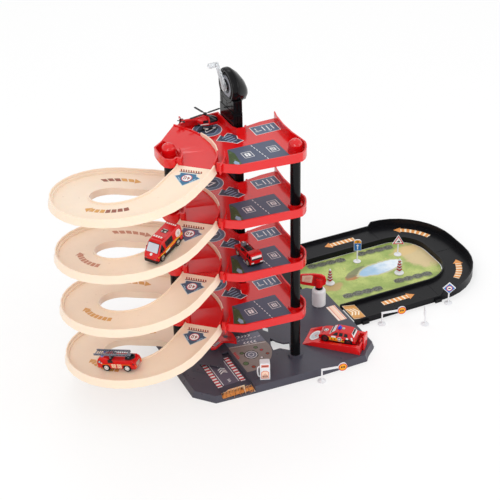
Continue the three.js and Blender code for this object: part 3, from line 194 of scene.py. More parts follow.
floor_half = 6.0
floor_drop = 0.3 * mm
floor_mesh = bpy.data.meshes.new("floor_sheet")
floor_shape = bmesh.new()
bmesh.ops.create_grid(floor_shape, x_segments=2, y_segments=2, size=floor_half)
bmesh.ops.translate(floor_shape, verts=floor_shape.verts, vec=(0, 0, -floor_drop))
floor_shape.to_mesh(floor_mesh)
floor_shape.free()
floor = bpy.data.objects.new("floor_sheet", floor_mesh)
scene.collection.objects.link(floor)
floor_white = Finish("floor_white", base_color=(0.93, 0.93, 0.93, 1), roughness=0.9,
                     specular_ior_level=0.1)
seen = floor_white.node("ShaderNodeLightPath", output="Is Camera Ray")
glow = floor_white.node("ShaderNodeEmission", sockets={0: (1, 1, 1, 1), 1: 1.0})
lit = Value(floor_white, floor_white.shader.outputs[0])
shown = floor_white.node("ShaderNodeMixShader", sockets={0: seen * 0.55, 1: lit, 2: glow})
floor_white.feed(floor_white.tree.nodes["Material Output"].inputs[0], shown)
floor_mesh.materials.append(floor_white.material)

world = bpy.data.worlds.new("white_room")
world.use_nodes = True
scene.world = world
room = world.node_tree.nodes["Background"]
room.inputs[0].default_value = (1.0, 1.0, 1.0, 1.0)
room.inputs[1].default_value = 0.95

middle_of_toy = Vector((0.03, 0.1, 0.15))
for name, spot, size, power in (("key_lamp", (-1.3, -1.6, 1.3), 1.3, 11),
                                ("fill_lamp", (1.8, -1.4, 1.0), 1.6, 7),
                                ("back_lamp", (0.1, 1.3, 2.4), 1.0, 5)):
    light = bpy.data.lights.new(name, "AREA")
    light.shape = "DISK"
    light.size = size
    light.energy = power
    lamp = bpy.data.objects.new(name, light)
    lamp.location = spot
    lamp.rotation_mode = "QUATERNION"
    lamp.rotation_quaternion = (middle_of_toy - Vector(spot)).to_track_quat("-Z", "Y")
    scene.collection.objects.link(lamp)


# Base board: a shallow tray of dark grey plastic, moulded upside down, with the road channel,
# the kerb of the last ramp and the feet of the tower and pillars in one piece. Its edges are
# softly rounded.
def moulded(name, colour, roughness, coat=0.0, clouds=0.06, skin=0.25, shine=0.28):
    """Moulded plastic: faint clouds in the pigment, uneven polish and a very fine skin."""
    finish = Finish(name, roughness=roughness, coat_weight=coat, coat_roughness=0.12,
                    specular_ior_level=shine)
    finish.shade(colour, clouds, 22)
    finish.set("Roughness", finish.noise(7) * 0.12 + (roughness - 0.06))
    finish.bump(finish.noise(0.9), 0.02, skin)
    return finish


def shown_piece(name, mesh, finishes, body, sharp=None):
    """Puts a mesh on its body. With an angle, only edges sharper than that stay creased."""
    for finish in finishes:
        mesh.materials.append(finish.material)
    piece = bpy.data.objects.new(name, mesh)
    scene.collection.objects.link(piece)
    if sharp:
        mesh.shade_smooth()
        mesh.set_sharp_from_angle(angle=math.radians(sharp))
        piece.modifiers.new("even_shading", "WEIGHTED_NORMAL").keep_sharp = True
    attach(piece, body)
    return piece


def round_corners(shape, radius, sharp, segments=2):
    """Rounds every edge that turns by more than that many degrees."""
    turn = math.radians(sharp)
    corners = [e for e in shape.edges if e.is_manifold and e.calc_face_angle(0) > turn]
    bmesh.ops.bevel(shape, geom=corners, offset=radius, offset_type="OFFSET", segments=segments,
                    profile=0.5, affect="EDGES", clamp_overlap=True, material=-1)


def softened(node, finish, radius=0.5, sharp=32, name=None):
    """The part's own shape again, with its corners rounded to that radius in millimetres."""
    mesh = frame["nodes"][node].data.copy()
    if "custom_normal" in mesh.attributes:
        mesh.attributes.remove(mesh.attributes["custom_normal"])
    mesh.materials.clear()
    shape = bmesh.new()
    shape.from_mesh(mesh)
    bmesh.ops.remove_doubles(shape, verts=shape.verts, dist=0.02 * mm)
    flat = math.radians(0.6)
    bmesh.ops.dissolve_limit(shape, angle_limit=flat, verts=shape.verts, edges=shape.edges)
    round_corners(shape, radius * mm, sharp)
    shape.to_mesh(mesh)
    shape.free()
    body = frame["nodes"][node]["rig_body"]
    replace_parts(shown_piece(name or f"{node}_moulding", mesh, [finish], body, 35), node)


slate = moulded("slate_plastic", (72, 71, 82), 0.3, 0.05, 0.1)
softened("base_board", slate, 0.6)


# Prints on the base board: the road's own panel with its striped edges, the hatched lip at
# the front and the round yard. They are paper stickers, laid into the moulding.
film = 0.06
sticker_share = 0.8


def ring(x, y, radius, sides):
    """The corners of a circle."""
    turns = [math.tau * i / sides for i in range(sides)]
    return [(x + radius * math.cos(turn), y + radius * math.sin(turn)) for turn in turns]


def turned_about(corners, x, y, turn):
    """Points turned by degrees about the origin and moved to a place."""
    spin = Matrix.Rotation(math.radians(turn), 2)
    return [tuple(spin @ Vector(corner) + Vector((x, y))) for corner in corners]


class Sticker:
    """Printed shapes, drawn flat in millimetres and each a thin plate, laid on their carrier."""

    def __init__(self):
        self.sheet = bmesh.new()
        self.inks = []

    def shape(self, ink, corners, layer=0):
        if ink not in self.inks:
            self.inks.append(ink)
        face = self.sheet.faces.new([self.sheet.verts.new((*c, layer * film)) for c in corners])
        face.normal_update()
        if face.normal.z < 0:
            face.normal_flip()
        face.material_index = self.inks.index(ink)

    def panel(self, ink, left, right, low, high, layer=0):
        self.shape(ink, [(left, low), (right, low), (right, high), (left, high)], layer)

    def bar(self, ink, x, y, length, width, turn=0, layer=1, lean=0):
        """A bar round its middle, turned by degrees. Lean moves its sides apart lengthwise."""
        reach, half, lean = length / 2, width / 2, lean / 2
        corners = [(-reach - lean, -half), (reach - lean, -half), (reach + lean, half),
                   (lean - reach, half)]
        self.shape(ink, turned_about(corners, x, y, turn), layer)

    def disc(self, ink, x, y, radius, layer=1, sides=24):
        self.shape(ink, ring(x, y, radius, sides), layer)

    def line(self, ink, points, width, layer=1):
        """A drawn line with square ends, one bar to each stretch."""
        for start, end in zip(points, points[1:]):
            run = Vector(end) - Vector(start)
            middle = (Vector(start) + Vector(end)) / 2
            turn = math.degrees(math.atan2(run.y, run.x))
            self.bar(ink, *middle, run.length + width * 0.9, width, turn, layer)

    def chevron(self, ink, x, y, reach, span, width, turn=0, layer=1):
        """An arrow head of two leaning bars, its point towards the turn."""
        reach, half = reach / 2, span / 2
        corners = [(-reach, half), (reach, 0), (-reach, -half), (-reach - width, -half),
                   (reach - width, 0), (-reach - width, half)]
        self.shape(ink, turned_about(corners, x, y, turn), layer)

    def outlined(self, edge, fill, corners, rim, layer=0):
        """A field with an edge of its own colour round it."""
        middle = sum((Vector(c) for c in corners), Vector((0, 0))) / len(corners)
        reaches = [Vector(corner) - middle for corner in corners]
        self.shape(edge, corners, layer)
        self.shape(fill, [middle + r * (1 - rim / r.length) for r in reaches], layer + 1)

    def lay(self, name, place, slot, step=None, body="garage"):
        """place turns a flat point in millimetres, and its height, into a point of the frame.
        With a step the sheet is cut across that often, so that it can follow a bent face."""
        sheet = self.sheet
        bmesh.ops.triangulate(sheet, faces=[f for f in sheet.faces if len(f.verts) > 4])
        if step:
            xs = [v.co.x for v in sheet.verts]
            cut = math.floor(min(xs) / step) * step + step
            while cut < max(xs):
                whole = sheet.verts[:] + sheet.edges[:] + sheet.faces[:]
                bmesh.ops.bisect_plane(sheet, geom=whole, dist=1e-5, plane_co=(cut, 0, 0),
                                       plane_no=(1, 0, 0))
                cut += step
        for vertex in sheet.verts:
            vertex.co = place(*vertex.co)
        mesh = bpy.data.meshes.new(name)
        sheet.to_mesh(mesh)
        sheet.free()
        plate = shown_piece(name, mesh, self.inks, body).modifiers.new("film", "SOLIDIFY")
        plate.thickness = film * sticker_share * mm
        plate.offset = 1


class Carrier:
    """The upper face of CAD parts, to lay things on."""

    def __init__(self, *nodes):
        self.trees = []
        for node in nodes:
            mesh = frame["nodes"][node].data
            corners = [v.co.copy() for v in mesh.vertices]
            faces = [tuple(p.vertices) for p in mesh.polygons]
            self.trees.append(BVHTree.FromPolygons(corners, faces))

    def height(self, x, y, above=1000.0):
        """The height of the face under a place, all in millimetres."""
        start = Vector((x, y, above)) * mm
        hits = [tree.ray_cast(start, Vector((0, 0, -1)))[0] for tree in self.trees]
        under = [hit.z for hit in hits if hit]
        return max(under or [tree.find_nearest(start)[0].z for tree in self.trees]) / mm

    def flat(self, x, y, turn=0, level=None, above=1000.0):
        """Lays a sheet flat, its middle at a place and turned by degrees."""
        def place(u, v, rise):
            spot = turned_about([(u, v)], x, y, turn)[0]
            under = self.height(*spot, above) if level is None else level
            return Vector((*spot, under + film / 2 + rise)) * mm
        return place

    def bend(self, x, y, radius, first, way, above):
        """Lays a sheet's length round a centre from an angle, clockwise where way is -1."""
        def place(u, v, rise):
            turn = math.radians(first) + way * u / radius
            reach = radius - way * v
            spot = (x + reach * math.cos(turn), y + reach * math.sin(turn))
            return Vector((*spot, self.height(*spot, above) + film + rise)) * mm
        return place


def ink(name, red, green, blue, spots=0.08):
    """Printing ink under a thin gloss film, a little uneven."""
    finish = Finish(f"{name}_ink", roughness=0.42, specular_ior_level=0.3)
    finish.shade((red, green, blue), spots, 2.2)
    return finish


white_ink = ink("white", 236, 236, 236)
red_ink = ink("red", 196, 48, 58)
cream_ink = ink("cream", 250, 232, 205)
orange_ink = ink("orange", 226, 152, 84)
brick_ink = ink("brick", 150, 62, 40)
road_ink = ink("road", 98, 92, 108)
yard_ink = ink("yard", 140, 130, 124, 0.18)
lane_ink = ink("lane", 112, 116, 132, 0.14)
black_ink = ink("black", 34, 34, 40)
moss_ink = ink("moss", 92, 116, 78, 0.3)
peach_ink = ink("peach", 246, 214, 190)
salmon_ink = ink("salmon", 222, 130, 112)

board_face = Carrier("base_board")
road_sign = Sticker()
road_sign.panel(road_ink, -16.5, 16.5, -35, 32)
for side in (-1, 1):
    road_sign.bar(white_ink, side * 14.2, -1.5, 1.1, 64)
    for i in range(9):
        road_sign.bar(white_ink, side * 21.4, 8 * i - 32, 8.4, 8, 0, 0)
        road_sign.bar(red_ink, side * 21.4, 8 * i - 32, 8.4, 3.9)
for y in (-28, -25, -22, 19, 22):
    road_sign.bar(white_ink, 0, y, 5, 1.2, 18)
for i in range(3):
    road_sign.chevron(white_ink, 0.5, 1 + 5.4 * i, 4.5, 13, 2.6, 90)
road_sign.lay("road_print", board_face.flat(-130, 17, level=7), "board_slate")

lip = Sticker()
lip.panel(cream_ink, -29, 29, -8.2, 7.4)
lip.bar(orange_ink, 0, -0.4, 58, 6.4)
for i in range(21):
    for row in (-5.9, 5.2):
        lip.bar(orange_ink, -27.4 + 2.74 * i, row, 1.1, 3.6, 0, 1, 0.8)
for i in range(6):
    lip.chevron(brick_ink, -21 + 8.4 * i, -0.4, 2.2, 4.4, 1.7)
lip.lay("lip_print", board_face.flat(-130, -42.5), "board_slate", 3)

yard = Sticker()
yard_radius = 58
left_edge = -10.5
first_turn = -101
last_turn = 12
turns = [math.radians(first_turn + (last_turn - first_turn) * i / 24) for i in range(25)]
rim = [(yard_radius * math.cos(turn), yard_radius * math.sin(turn)) for turn in turns]
yard.shape(yard_ink, [(left_edge, -56.5), *rim, (left_edge, 22)])
yard.shape(lane_ink, [(left_edge, 22), (57, 11), (57, 43), (36, 44), (20, 44), (left_edge, 44)])
for i in range(7):
    yard.bar(white_ink, 7 + 7.6 * i, 31.5 - 0.4 * i, 4.4, 1.1, -3)
for row, way in ((42, 0), (21, 180)):
    for i in range(4):
        yard.chevron(white_ink, 20 + 6.2 * i, row - 0.9 * i, 3.4, 7, 2.4, way - 8)
yard.bar(white_ink, 23, 13.8, 66, 0.9, -9.5)
for i in range(5):
    yard.bar(red_ink, left_edge + 3.4, 2 - 4.2 * i, 5.6, 2.2, 30)
for layer, (tone, radius, sides) in enumerate(((black_ink, 13, 8), (white_ink, 10.6, 24),
                                               (lane_ink, 9.4, 24), (white_ink, 5.6, 6),
                                               (lane_ink, 4.4, 6)), 1):
    yard.disc(tone, 17, -15, radius, layer, sides)
for x, y, radius, tone in ((-2, -34, 4.6, moss_ink), (33, 1, 3.2, moss_ink), (4, -4, 3, moss_ink),
                           (39, -10, 2.4, red_ink), (24, -44, 2.8, moss_ink),
                           (44, -24, 2.6, brick_ink), (6, -48, 3, brick_ink),
                           (30, -30, 2.2, white_ink)):
    yard.disc(black_ink, x, y, radius + 0.9, 1, 9)
    yard.disc(tone, x, y, radius, 2, 9)
yard.lay("yard_print", board_face.flat(-85, 50, level=12), "board_slate")

edge_strip = Sticker()
edge_strip.panel(peach_ink, -8.6, 8.6, -24, 24)
for tone, x, width in ((white_ink, -6.6, 1.6), (salmon_ink, -3.6, 1.2), (salmon_ink, 6.6, 1.2),
                       (white_ink, 4.4, 1)):
    edge_strip.bar(tone, x, 0, width, 48)
edge_strip.lay("edge_print", board_face.flat(124, 80, level=12), "board_slate")


# Parking decks: four trays of glossy red plastic, each moulded with its rim, the landing that
# meets the ramp, and the guide for the lift. They slide over the pillars and rest on the
# sections below.
deck_level = {1: 412, 2: 312, 3: 212, 4: 112}
glossy_red = moulded("deck_red_plastic", (218, 14, 18), 0.18, 0.1, 0.05, shine=0.6)
for number in deck_level:
    softened(f"deck_{number}", glossy_red, 1)


# Deck prints: paper stickers on each deck, with two numbered bays, a striped board by the
# lift, an arrow to the ramp and a round landing pad behind.
bay_ink = ink("bay", 82, 90, 112, 0.1)
pad_ink = ink("pad", 88, 106, 132, 0.12)
navy_ink = ink("navy", 58, 72, 92, 0.1)
sky_ink = ink("sky", 150, 180, 205, 0.2)
garden_ink = ink("garden", 70, 88, 52, 0.55)

figures = {0: [(-1, -1), (-1, 1), (1, 1), (1, -1), (-1, -1)],
           1: [(-0.6, 0.5), (0, 1), (0, -1)],
           2: [(-1, 1), (1, 1), (1, 0), (-1, 0), (-1, -1), (1, -1)],
           4: [(0.45, -1), (0.45, 1), (-1, -0.35), (1, -0.35)]}


def draw_figure(sheet, tone, figure, x, y, width, height, turn, layer):
    """A plain figure drawn in strokes round its middle."""
    points = [(u * width / 2, v * height / 2) for u, v in figures[figure]]
    sheet.line(tone, turned_about(points, x, y, turn), 1.3, layer)


for number, level in deck_level.items():
    deck_face = Carrier(f"deck_{number}")
    bays = Sticker()
    bays.shape(bay_ink, [(-94.5, 52), (-104, 26), (-116, -2), (-109, -17), (-14, -25), (-14, 50.5)])
    bays.shape(garden_ink, [(-94, 51), (-89, 36), (-96, -17), (-108, -16), (-115, -2),
                            (-103.4, 26)], 1)
    for x, y, radius in ((-97, 4, 4.2), (-104, -4, 3.2), (-98, 16, 2.6), (-95, 40, 2.2)):
        bays.disc(moss_ink, x, y, radius, 2, 7)
    bays.shape(sky_ink, [(-104, 8), (-99, 14), (-95.5, 6), (-98, -3), (-103, -1)], 3)
    for i in range(9):
        bays.bar(white_ink, -54.6 + 0.9 * i, 46 - 8 * i, 1.3, 4.6, 4)
    for figure, x, y in ((1, -72.6, 22.6), (2, -28.6, 22.4)):
        corners = [(x + 8 * u, y + 9 * v) for u, v in ((-1, -1), (1, -1), (1, 1), (-1, 1))]
        bays.line(white_ink, corners + corners[:1], 1)
        bays.bar(white_ink, x, y, 8.6, 10.4)
        draw_figure(bays, bay_ink, figure, x, y, 4.2, 6.6, 0, 2)
    stripes = Sticker()
    stripes.outlined(white_ink, pad_ink, [(-22.6, -14.8), (22.4, -14), (23.4, 14.4), (-22.2, 14.6)],
                     1.6)
    for x in (-2, 6, 14):
        stripes.bar(white_ink, x, 1.5, 1.7, 15, 0, 2)
    stripes.chevron(white_ink, 6, -8.6, 3.4, 6.4, 1.6, -90, 2)
    stripes.line(white_ink, [(-8, -3), (-15, -3), (-15, 7)], 1.7, 2)
    stripes.chevron(white_ink, -16.6, -3, 3.4, 6.4, 1.6, 180, 2)
    arrow = Sticker()
    arrow.outlined(white_ink, navy_ink, [(-22, 4), (-8, 19), (-5, 12), (6, 21), (17, 9), (13, -5),
                                         (19, -15), (4, -20), (-2, -12)], 1.5)
    for i in range(4):
        arrow.bar(sky_ink, -1 + 1.2 * i, 9.5 - 6.4 * i, 17 - i, 1.9, 14, 2)
    pad = Sticker()
    for layer, (tone, radius, sides) in enumerate(((white_ink, 24.5, 40), (pad_ink, 23.3, 40),
                                                   (sky_ink, 18, 8), (navy_ink, 16.6, 8))):
        pad.disc(tone, 0, 0, radius, layer, sides)
    pad.shape(white_ink, [(-9, -7), (9, -7), (0, 10)], 4)
    pad.shape(navy_ink, [(-6, -5), (6, -5), (0, 6.5)], 5)
    for sheet, what, x, y, turn in ((bays, "bay", 0, 0, 0), (stripes, "stripe", -9.8, 90.4, 0),
                                    (arrow, "arrow", -76, 84, 0), (pad, "pad", -95, 130, 20)):
        sheet.lay(f"deck_{number}_{what}_print", deck_face.flat(x, y, turn, level), "deck_red")


# Ramps and guard rails: cream plastic mouldings, three quarters of a turn each, with a low wall
# on both sides. Each hooks on a deck's landing; a short rail closes the outer wall there.
cream = moulded("ramp_cream_plastic", (243, 221, 198), 0.3, 0.05, 0.035)
cream.set("Subsurface Weight", 0.12)
cream.set("Subsurface Radius", (0.012, 0.006, 0.003))
for number in deck_level:
    softened(f"spiral_ramp_{number}", cream, 0.55)
    softened(f"guard_rail_{number}", cream, 0.4)


# Ramp prints: paper stickers, a blue shield with the speed limit where cars drive on, under a
# row of dark teeth, and dashed arrows that are cut to follow the bend.
shield_ink = ink("shield", 50, 108, 142, 0.16)
pale_ink = ink("pale", 196, 208, 214)
tan_ink = ink("tan", 214, 156, 84)
rose_ink = ink("rose", 196, 134, 108)
brown_ink = ink("brown", 150, 88, 70, 0.14)
violet_ink = ink("violet", 98, 98, 124, 0.16)
slate_ink = ink("slate", 70, 90, 112, 0.16)
# for each ramp: the shield's ink, the inks of the rear and the front half of its arrows, and
# the angles between which its far arrow and its near arrow run
ramp_prints = {1: (shield_ink, (brown_ink, tan_ink), (97, 57), (251, 198)),
               2: (violet_ink, (rose_ink, rose_ink), (90, 50), (212, 160)),
               3: (slate_ink, (tan_ink, tan_ink), (96, 54), (222, 170)),
               4: (slate_ink, (tan_ink, tan_ink), (93, 52), (226, 175))}
loop_middle = (-260, 65)
shield_spot = (-184, 5)
shield_turn = -44
far_radius = 95
near_radius = 84


def dashed_arrow(length, width, head, tail_ink, head_ink, dashes, ground=None):
    """An arrow along +X: broad slanting blocks and a head; its rear half may have its own ink."""
    sheet = Sticker()
    shaft = length - head
    pitch = shaft / dashes
    if ground:
        sheet.panel(ground, 0, shaft, -width / 2, width / 2)
    for i in range(dashes):
        tone = tail_ink if i < dashes / 2 else head_ink
        dash = pitch * (0.6 if ground else 0.8)
        sheet.bar(tone, pitch * (i + 0.5), 0, dash, width, 0, 1, -1.5)
    sheet.shape(head_ink, [(shaft, -width * 0.85), (length, 0), (shaft, width * 0.85)])
    return sheet


for number, level in deck_level.items():
    shield_tone, arrow_tones, far_turns, near_turns = ramp_prints[number]
    ramp_face = Carrier(f"spiral_ramp_{number}")
    above = level + 9
    shield = Sticker()
    shield.outlined(pale_ink, shield_tone, [(-21.5, 1), (-15, 5), (-15.5, 11), (12.5, 11), (15, 5),
                                            (21.5, 1), (0, -22)], 1.7)
    for side in (-1, 1):
        for x, y in ((12.4, -3.4), (9.4, -8.2)):
            shield.bar(sky_ink, side * x, y, 6.5, 1.3, side * 45, 2)
    shield.disc(red_ink, 0, -1.6, 8.6, 3)
    shield.disc(white_ink, 0, -1.6, 7.4, 4)
    draw_figure(shield, brick_ink, 4, 3.1, -1.6, 3.6, 6.2, 180, 5)
    draw_figure(shield, brick_ink, 0, -2.9, -1.6, 3, 6, 180, 5)
    shield.bar(navy_ink, 0, 13.2, 35, 1.5, 0, 0)
    for i in range(9):
        shield.bar(brick_ink, -15.4 + 4.1 * i, 16.2, 2.3, 5.2, 0, 1, -2)
    place = ramp_face.flat(*shield_spot, shield_turn, above=above)
    shield.lay(f"ramp_{number}_shield_print", place, "ramp_cream", 3)
    for what, radius, dashes, (start, end) in (("far", far_radius, 5, far_turns),
                                               ("near", near_radius, 7, near_turns)):
        arrow = dashed_arrow(math.radians(start - end) * radius, 9.5, 11, *arrow_tones, dashes)
        place = ramp_face.bend(*loop_middle, radius, start, -1, above)
        arrow.lay(f"ramp_{number}_{what}_arrow", place, "ramp_cream", 2.5)


# Pillars: tubes of glossy black plastic, one to a storey, pushed into each other through the
# decks, under two red caps. The caps are turned afresh here, because a dome shows every flat
# side.
gloss_black = moulded("pillar_black_plastic", (14, 14, 16), 0.16, 0.05, 0.12, shine=0.14)
for side in ("left", "right"):
    for number in deck_level:
        node = f"{side}_pillar_{number}"
        softened(node, gloss_black, 0.3, 40, f"{node}_tube")


def box_of(node):
    """The low and high corners of a CAD node at rest, in millimetres."""
    return [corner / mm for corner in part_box(node)]


def moved(x, y, z, turn=0, axis="Z"):
    """A turn by degrees about an axis and then a move, in millimetres."""
    return Matrix.Translation((x, y, z)) @ Matrix.Rotation(math.radians(turn), 4, axis)


class Model:
    """A piece built up of forms in millimetres, each in its own finish, as one mesh."""

    def __init__(self):
        self.shape = bmesh.new()
        self.finishes = []

    def join(self, part, finish, place=None):
        if finish not in self.finishes:
            self.finishes.append(finish)
        for face in part.faces:
            face.material_index = self.finishes.index(finish)
        if place is not None:
            bmesh.ops.transform(part, matrix=place, verts=part.verts)
        loose = bpy.data.meshes.new("form")
        part.to_mesh(loose)
        part.free()
        self.shape.from_mesh(loose)
        bpy.data.meshes.remove(loose)

    def box(self, finish, low, high, radius=0.4, place=None):
        part = bmesh.new()
        bmesh.ops.create_cube(part, size=1)
        bmesh.ops.scale(part, vec=Vector(high) - Vector(low), verts=part.verts)
        bmesh.ops.translate(part, vec=(Vector(high) + Vector(low)) / 2, verts=part.verts)
        if radius:
            round_corners(part, radius, 30)
        self.join(part, finish, place)

    def boxes(self, *rows):
        """Rows of a finish, x from and to, z from and to, half the width, the corner radius
        and, for a pair, how far it stands to both sides."""
        for finish, x0, x1, z0, z1, half, radius, *off in rows:
            for side in (-off[0], off[0]) if off else (0,):
                self.box(finish, (x0, side - half, z0), (x1, side + half, z1), radius)

    def slab(self, finish, outline, low, high, radius=0.4, place=None, segments=2, shape=None):
        """An outline in X and Y, raised from low to high, with its corners rounded."""
        part = bmesh.new()
        base = part.faces.new([part.verts.new((*point, low)) for point in outline])
        raised = bmesh.ops.extrude_face_region(part, geom=[base], use_keep_orig=True)
        top = [v for v in raised["geom"] if isinstance(v, bmesh.types.BMVert)]
        bmesh.ops.translate(part, vec=(0, 0, high - low), verts=top)
        bmesh.ops.recalc_face_normals(part, faces=part.faces)
        if shape:
            shape(part)
        if radius:
            round_corners(part, radius, 30, segments)
        self.join(part, finish, place)

    def turned(self, finish, profile, place=None, steps=40):
        """A profile of radius and height, spun round the upright axis."""
        part = bmesh.new()
        points = [part.verts.new((r, 0, z)) for r, z in profile]
        line = [part.edges.new(pair) for pair in zip(points, points[1:])]
        bmesh.ops.spin(part, geom=points + line, cent=(0, 0, 0), axis=(0, 0, 1),
                       angle=math.tau, steps=steps, use_merge=True)
        bmesh.ops.remove_doubles(part, verts=part.verts, dist=1e-4)
        bmesh.ops.recalc_face_normals(part, faces=part.faces)
        self.join(part, finish, place)

    def rod(self, finish, start, end, radius, sides=12, tip=None):
        """A round bar from one point to another."""
        part = bmesh.new()
        run = Vector(end) - Vector(start)
        bmesh.ops.create_cone(part, cap_ends=True, segments=sides, radius1=radius,
                              radius2=radius if tip is None else tip, depth=run.length)
        middle = Matrix.Translation((Vector(start) + Vector(end)) / 2)
        self.join(part, finish, middle @ run.to_track_quat("Z", "Y").to_matrix().to_4x4())

    def made(self, name, node, slot, place=None, body="garage"):
        """Puts the piece in its place and hands it over instead of its CAD node."""
        if place is not None:
            bmesh.ops.transform(self.shape, matrix=place, verts=self.shape.verts)
        bmesh.ops.scale(self.shape, vec=(mm, mm, mm), verts=self.shape.verts)
        mesh = bpy.data.meshes.new(name)
        self.shape.to_mesh(mesh)
        self.shape.free()
        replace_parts(shown_piece(name, mesh, self.finishes, body, 32), node)


cap_red = moulded("cap_red_plastic", (214, 14, 20), 0.14, 0.3, 0.04, shine=0.4)
for side in ("left", "right"):
    low, high = box_of(f"pillar_cap_{side}")
    reach = (high.x - low.x) / 2
    tall = high.z - low.z
    foot = tall - 2 * reach * 0.93
    turns = [math.radians(7.5 * i) for i in range(1, 12)]
    dome = [(reach * math.cos(turn), tall - reach + reach * math.sin(turn)) for turn in turns]
    cap = Model()
    cap.turned(cap_red, [(0, 0), (reach * 0.72, 0), (reach * 0.76, 0.4), (reach * 0.76, foot),
                         (reach * 0.94, foot), (reach, foot + 0.6), (reach, tall - reach),
                         *dome, (0, tall)])
    cap.made(f"pillar_cap_{side}_dome", f"pillar_cap_{side}", "cap_red",
             moved((low.x + high.x) / 2, (low.y + high.y) / 2, low.z))


# Lift tower and winding head, in glossy black plastic: the slotted channel, and the two shells
# that close round the grey drum, with a turned ring on the face. The crank handle is frosted.
softened("lift_tower", gloss_black, name="lift_tower_channel")
head_y = 127
head_z = 484
head_reach = 30.5
neck_front = 98
neck_back = 152
face_low, face_high = box_of("lift_head_left")
deep = face_high.x - face_low.x
left_shell = Model()
# how far each step of the face lies inside the rim, and how far behind the front
face_steps = ((0, 3.4), (0.9, 1.4), (2.8, 0.3), (4.2, 0), (6, 0.2), (7, 1.6), (9, 1.8),
              (10, 0.6), (12, 0.5), (13.2, 2), (17.5, 2), (18.9, 0.6), (22.1, 0.4), (27.1, 0.4))
left_shell.turned(gloss_black, [(3.4, 0), (head_reach, 0), *((head_reach - inside, deep - behind)
                                                             for inside, behind in face_steps),
                                (3.4, 0)], moved(face_high.x, head_y, head_z, -90, "Y"), 64)
left_shell.box(gloss_black, (face_low.x + 0.4, neck_front, face_low.z),
               (face_high.x, neck_back, head_z - 16), 1.2)
for i in range(3):
    ledge = neck_front + 8 + 19 * i
    left_shell.box(gloss_black, (face_low.x - 0.1, ledge - 1.4, face_low.z + 1),
                   (face_low.x + 1.2, ledge + 1.4, head_z - 24))
left_shell.made("lift_head_left_shell", "lift_head_left", "pillar_black")


def skinned(rings):
    """A closed skin through rings of points, as many in each ring."""
    part = bmesh.new()
    rows = [[part.verts.new(point) for point in points] for points in rings]
    for low, high in zip(rows, rows[1:]):
        for i, corner in enumerate(low):
            beside = (i + 1) % len(low)
            part.faces.new((corner, low[beside], high[beside], high[i]))
    part.faces.new(rows[0][::-1])
    part.faces.new(rows[-1])
    bmesh.ops.recalc_face_normals(part, faces=part.faces)
    return part


shell_low, shell_high = box_of("lift_head_right")
bulge = shell_high.x - shell_low.x
# along the bulge: shares of its depth, of the drop of its middle and of the reach
bulge_rows = ((0, 0, 1), (0.1, -0.02, 0.985), (0.2, -0.06, 0.94), (0.42, -0.14, 0.84),
              (0.66, -0.26, 0.66), (0.78, -0.32, 0.56), (0.86, -0.38, 0.45), (0.95, -0.43, 0.33),
              (1, -0.46, 0.2))
rings = [[(shell_low.x + bulge * share, y, z)
          for y, z in ring(head_y, head_z + head_reach * drop, head_reach * size, 48)]
         for share, drop, size in bulge_rows]
right_shell = Model()
right_shell.join(skinned(rings), gloss_black)
right_shell.box(gloss_black, (shell_low.x, neck_front, shell_low.z),
                (-45.5, neck_back, head_z - 16), 1.2)
for side in (-1, 1):
    roller = moved(shell_low.x + bulge * 0.48, head_y + side * 8.4, head_z - 20, 90, "Y")
    right_shell.turned(gloss_black, [(0, 0), (4.6, 0), (5.2, 1.2), (5.2, 7.4), (4.4, 8.8),
                                     (0, 9.6)], roller, 28)
    right_shell.box(gloss_black, (shell_low.x + 2, head_y + side * 15 - 1.2, head_z - 8),
                    (shell_low.x + bulge * 0.5, head_y + side * 15 + 1.2, head_z + 14), 0.5)
right_shell.made("lift_head_right_shell", "lift_head_right", "pillar_black")

drum_grey = moulded("drum_grey_plastic", (128, 132, 140), 0.42, clouds=0.08)
softened("lift_drum", drum_grey, 0.25, name="lift_drum_reel")

frosted = moulded("crank_frosted_plastic", (240, 243, 246), 0.3, 0.2, 0.02)
frosted.set("Transmission Weight", 0.72)
frosted.set("IOR", 1.46)
crank_turn = 48
crank_arm = 38
ends = ((0, 8, range(50, 311, 10)), (crank_arm, 4, range(-80, 81, 10)))
outline = [(x + radius * math.cos(math.radians(turn)), radius * math.sin(math.radians(turn)))
           for x, radius, turns in ends for turn in turns]
handle = Model()
handle.slab(frosted, outline, 0, 4, 0.8)
handle.turned(frosted, [(0, 3.6), (2.6, 3.6), (2.6, 4.4), (4.2, 5.2), (4.5, 6.6), (4.5, 15.4),
                        (3.6, 17.2), (2.2, 18), (0, 18)], moved(crank_arm, 0, 0), 28)
handle.turned(frosted, [(0, 3.9), (5.4, 3.9), (5.4, 4.8), (4.6, 5.4), (0, 5.4)])
# the arm's own flat turns to stand upright, its outside towards -X
upright = Matrix(((0, 0, -1, face_low.x - 0.7), (-1, 0, 0, head_y), (0, 1, 0, head_z),
                  (0, 0, 0, 1)))
handle.made("crank_handle", "crank", "crank_clear", upright @ moved(0, 0, 0, 180 - crank_turn),
            "winder")


# Lift platform: a red plastic tray, open to the decks, moulded with the shoe that runs in the
# tower's slot.
softened("lift_platform", glossy_red, name="lift_platform_tray")


# Gate by the road: a white plastic post with a black neck, on which the red arm swings. The arm
# has a peach label and a dark pattern printed on both faces.
def on_plane(origin, right, up=(0, 0, 1)):
    """Lays a sheet on a standing face: its middle, and its ways to the right and upwards."""
    right = Vector(right).normalized()
    up = Vector(up)
    out = right.cross(up)

    def place(u, v, rise):
        return (Vector(origin) + right * u + up * v + out * (film / 2 + rise)) * mm
    return place


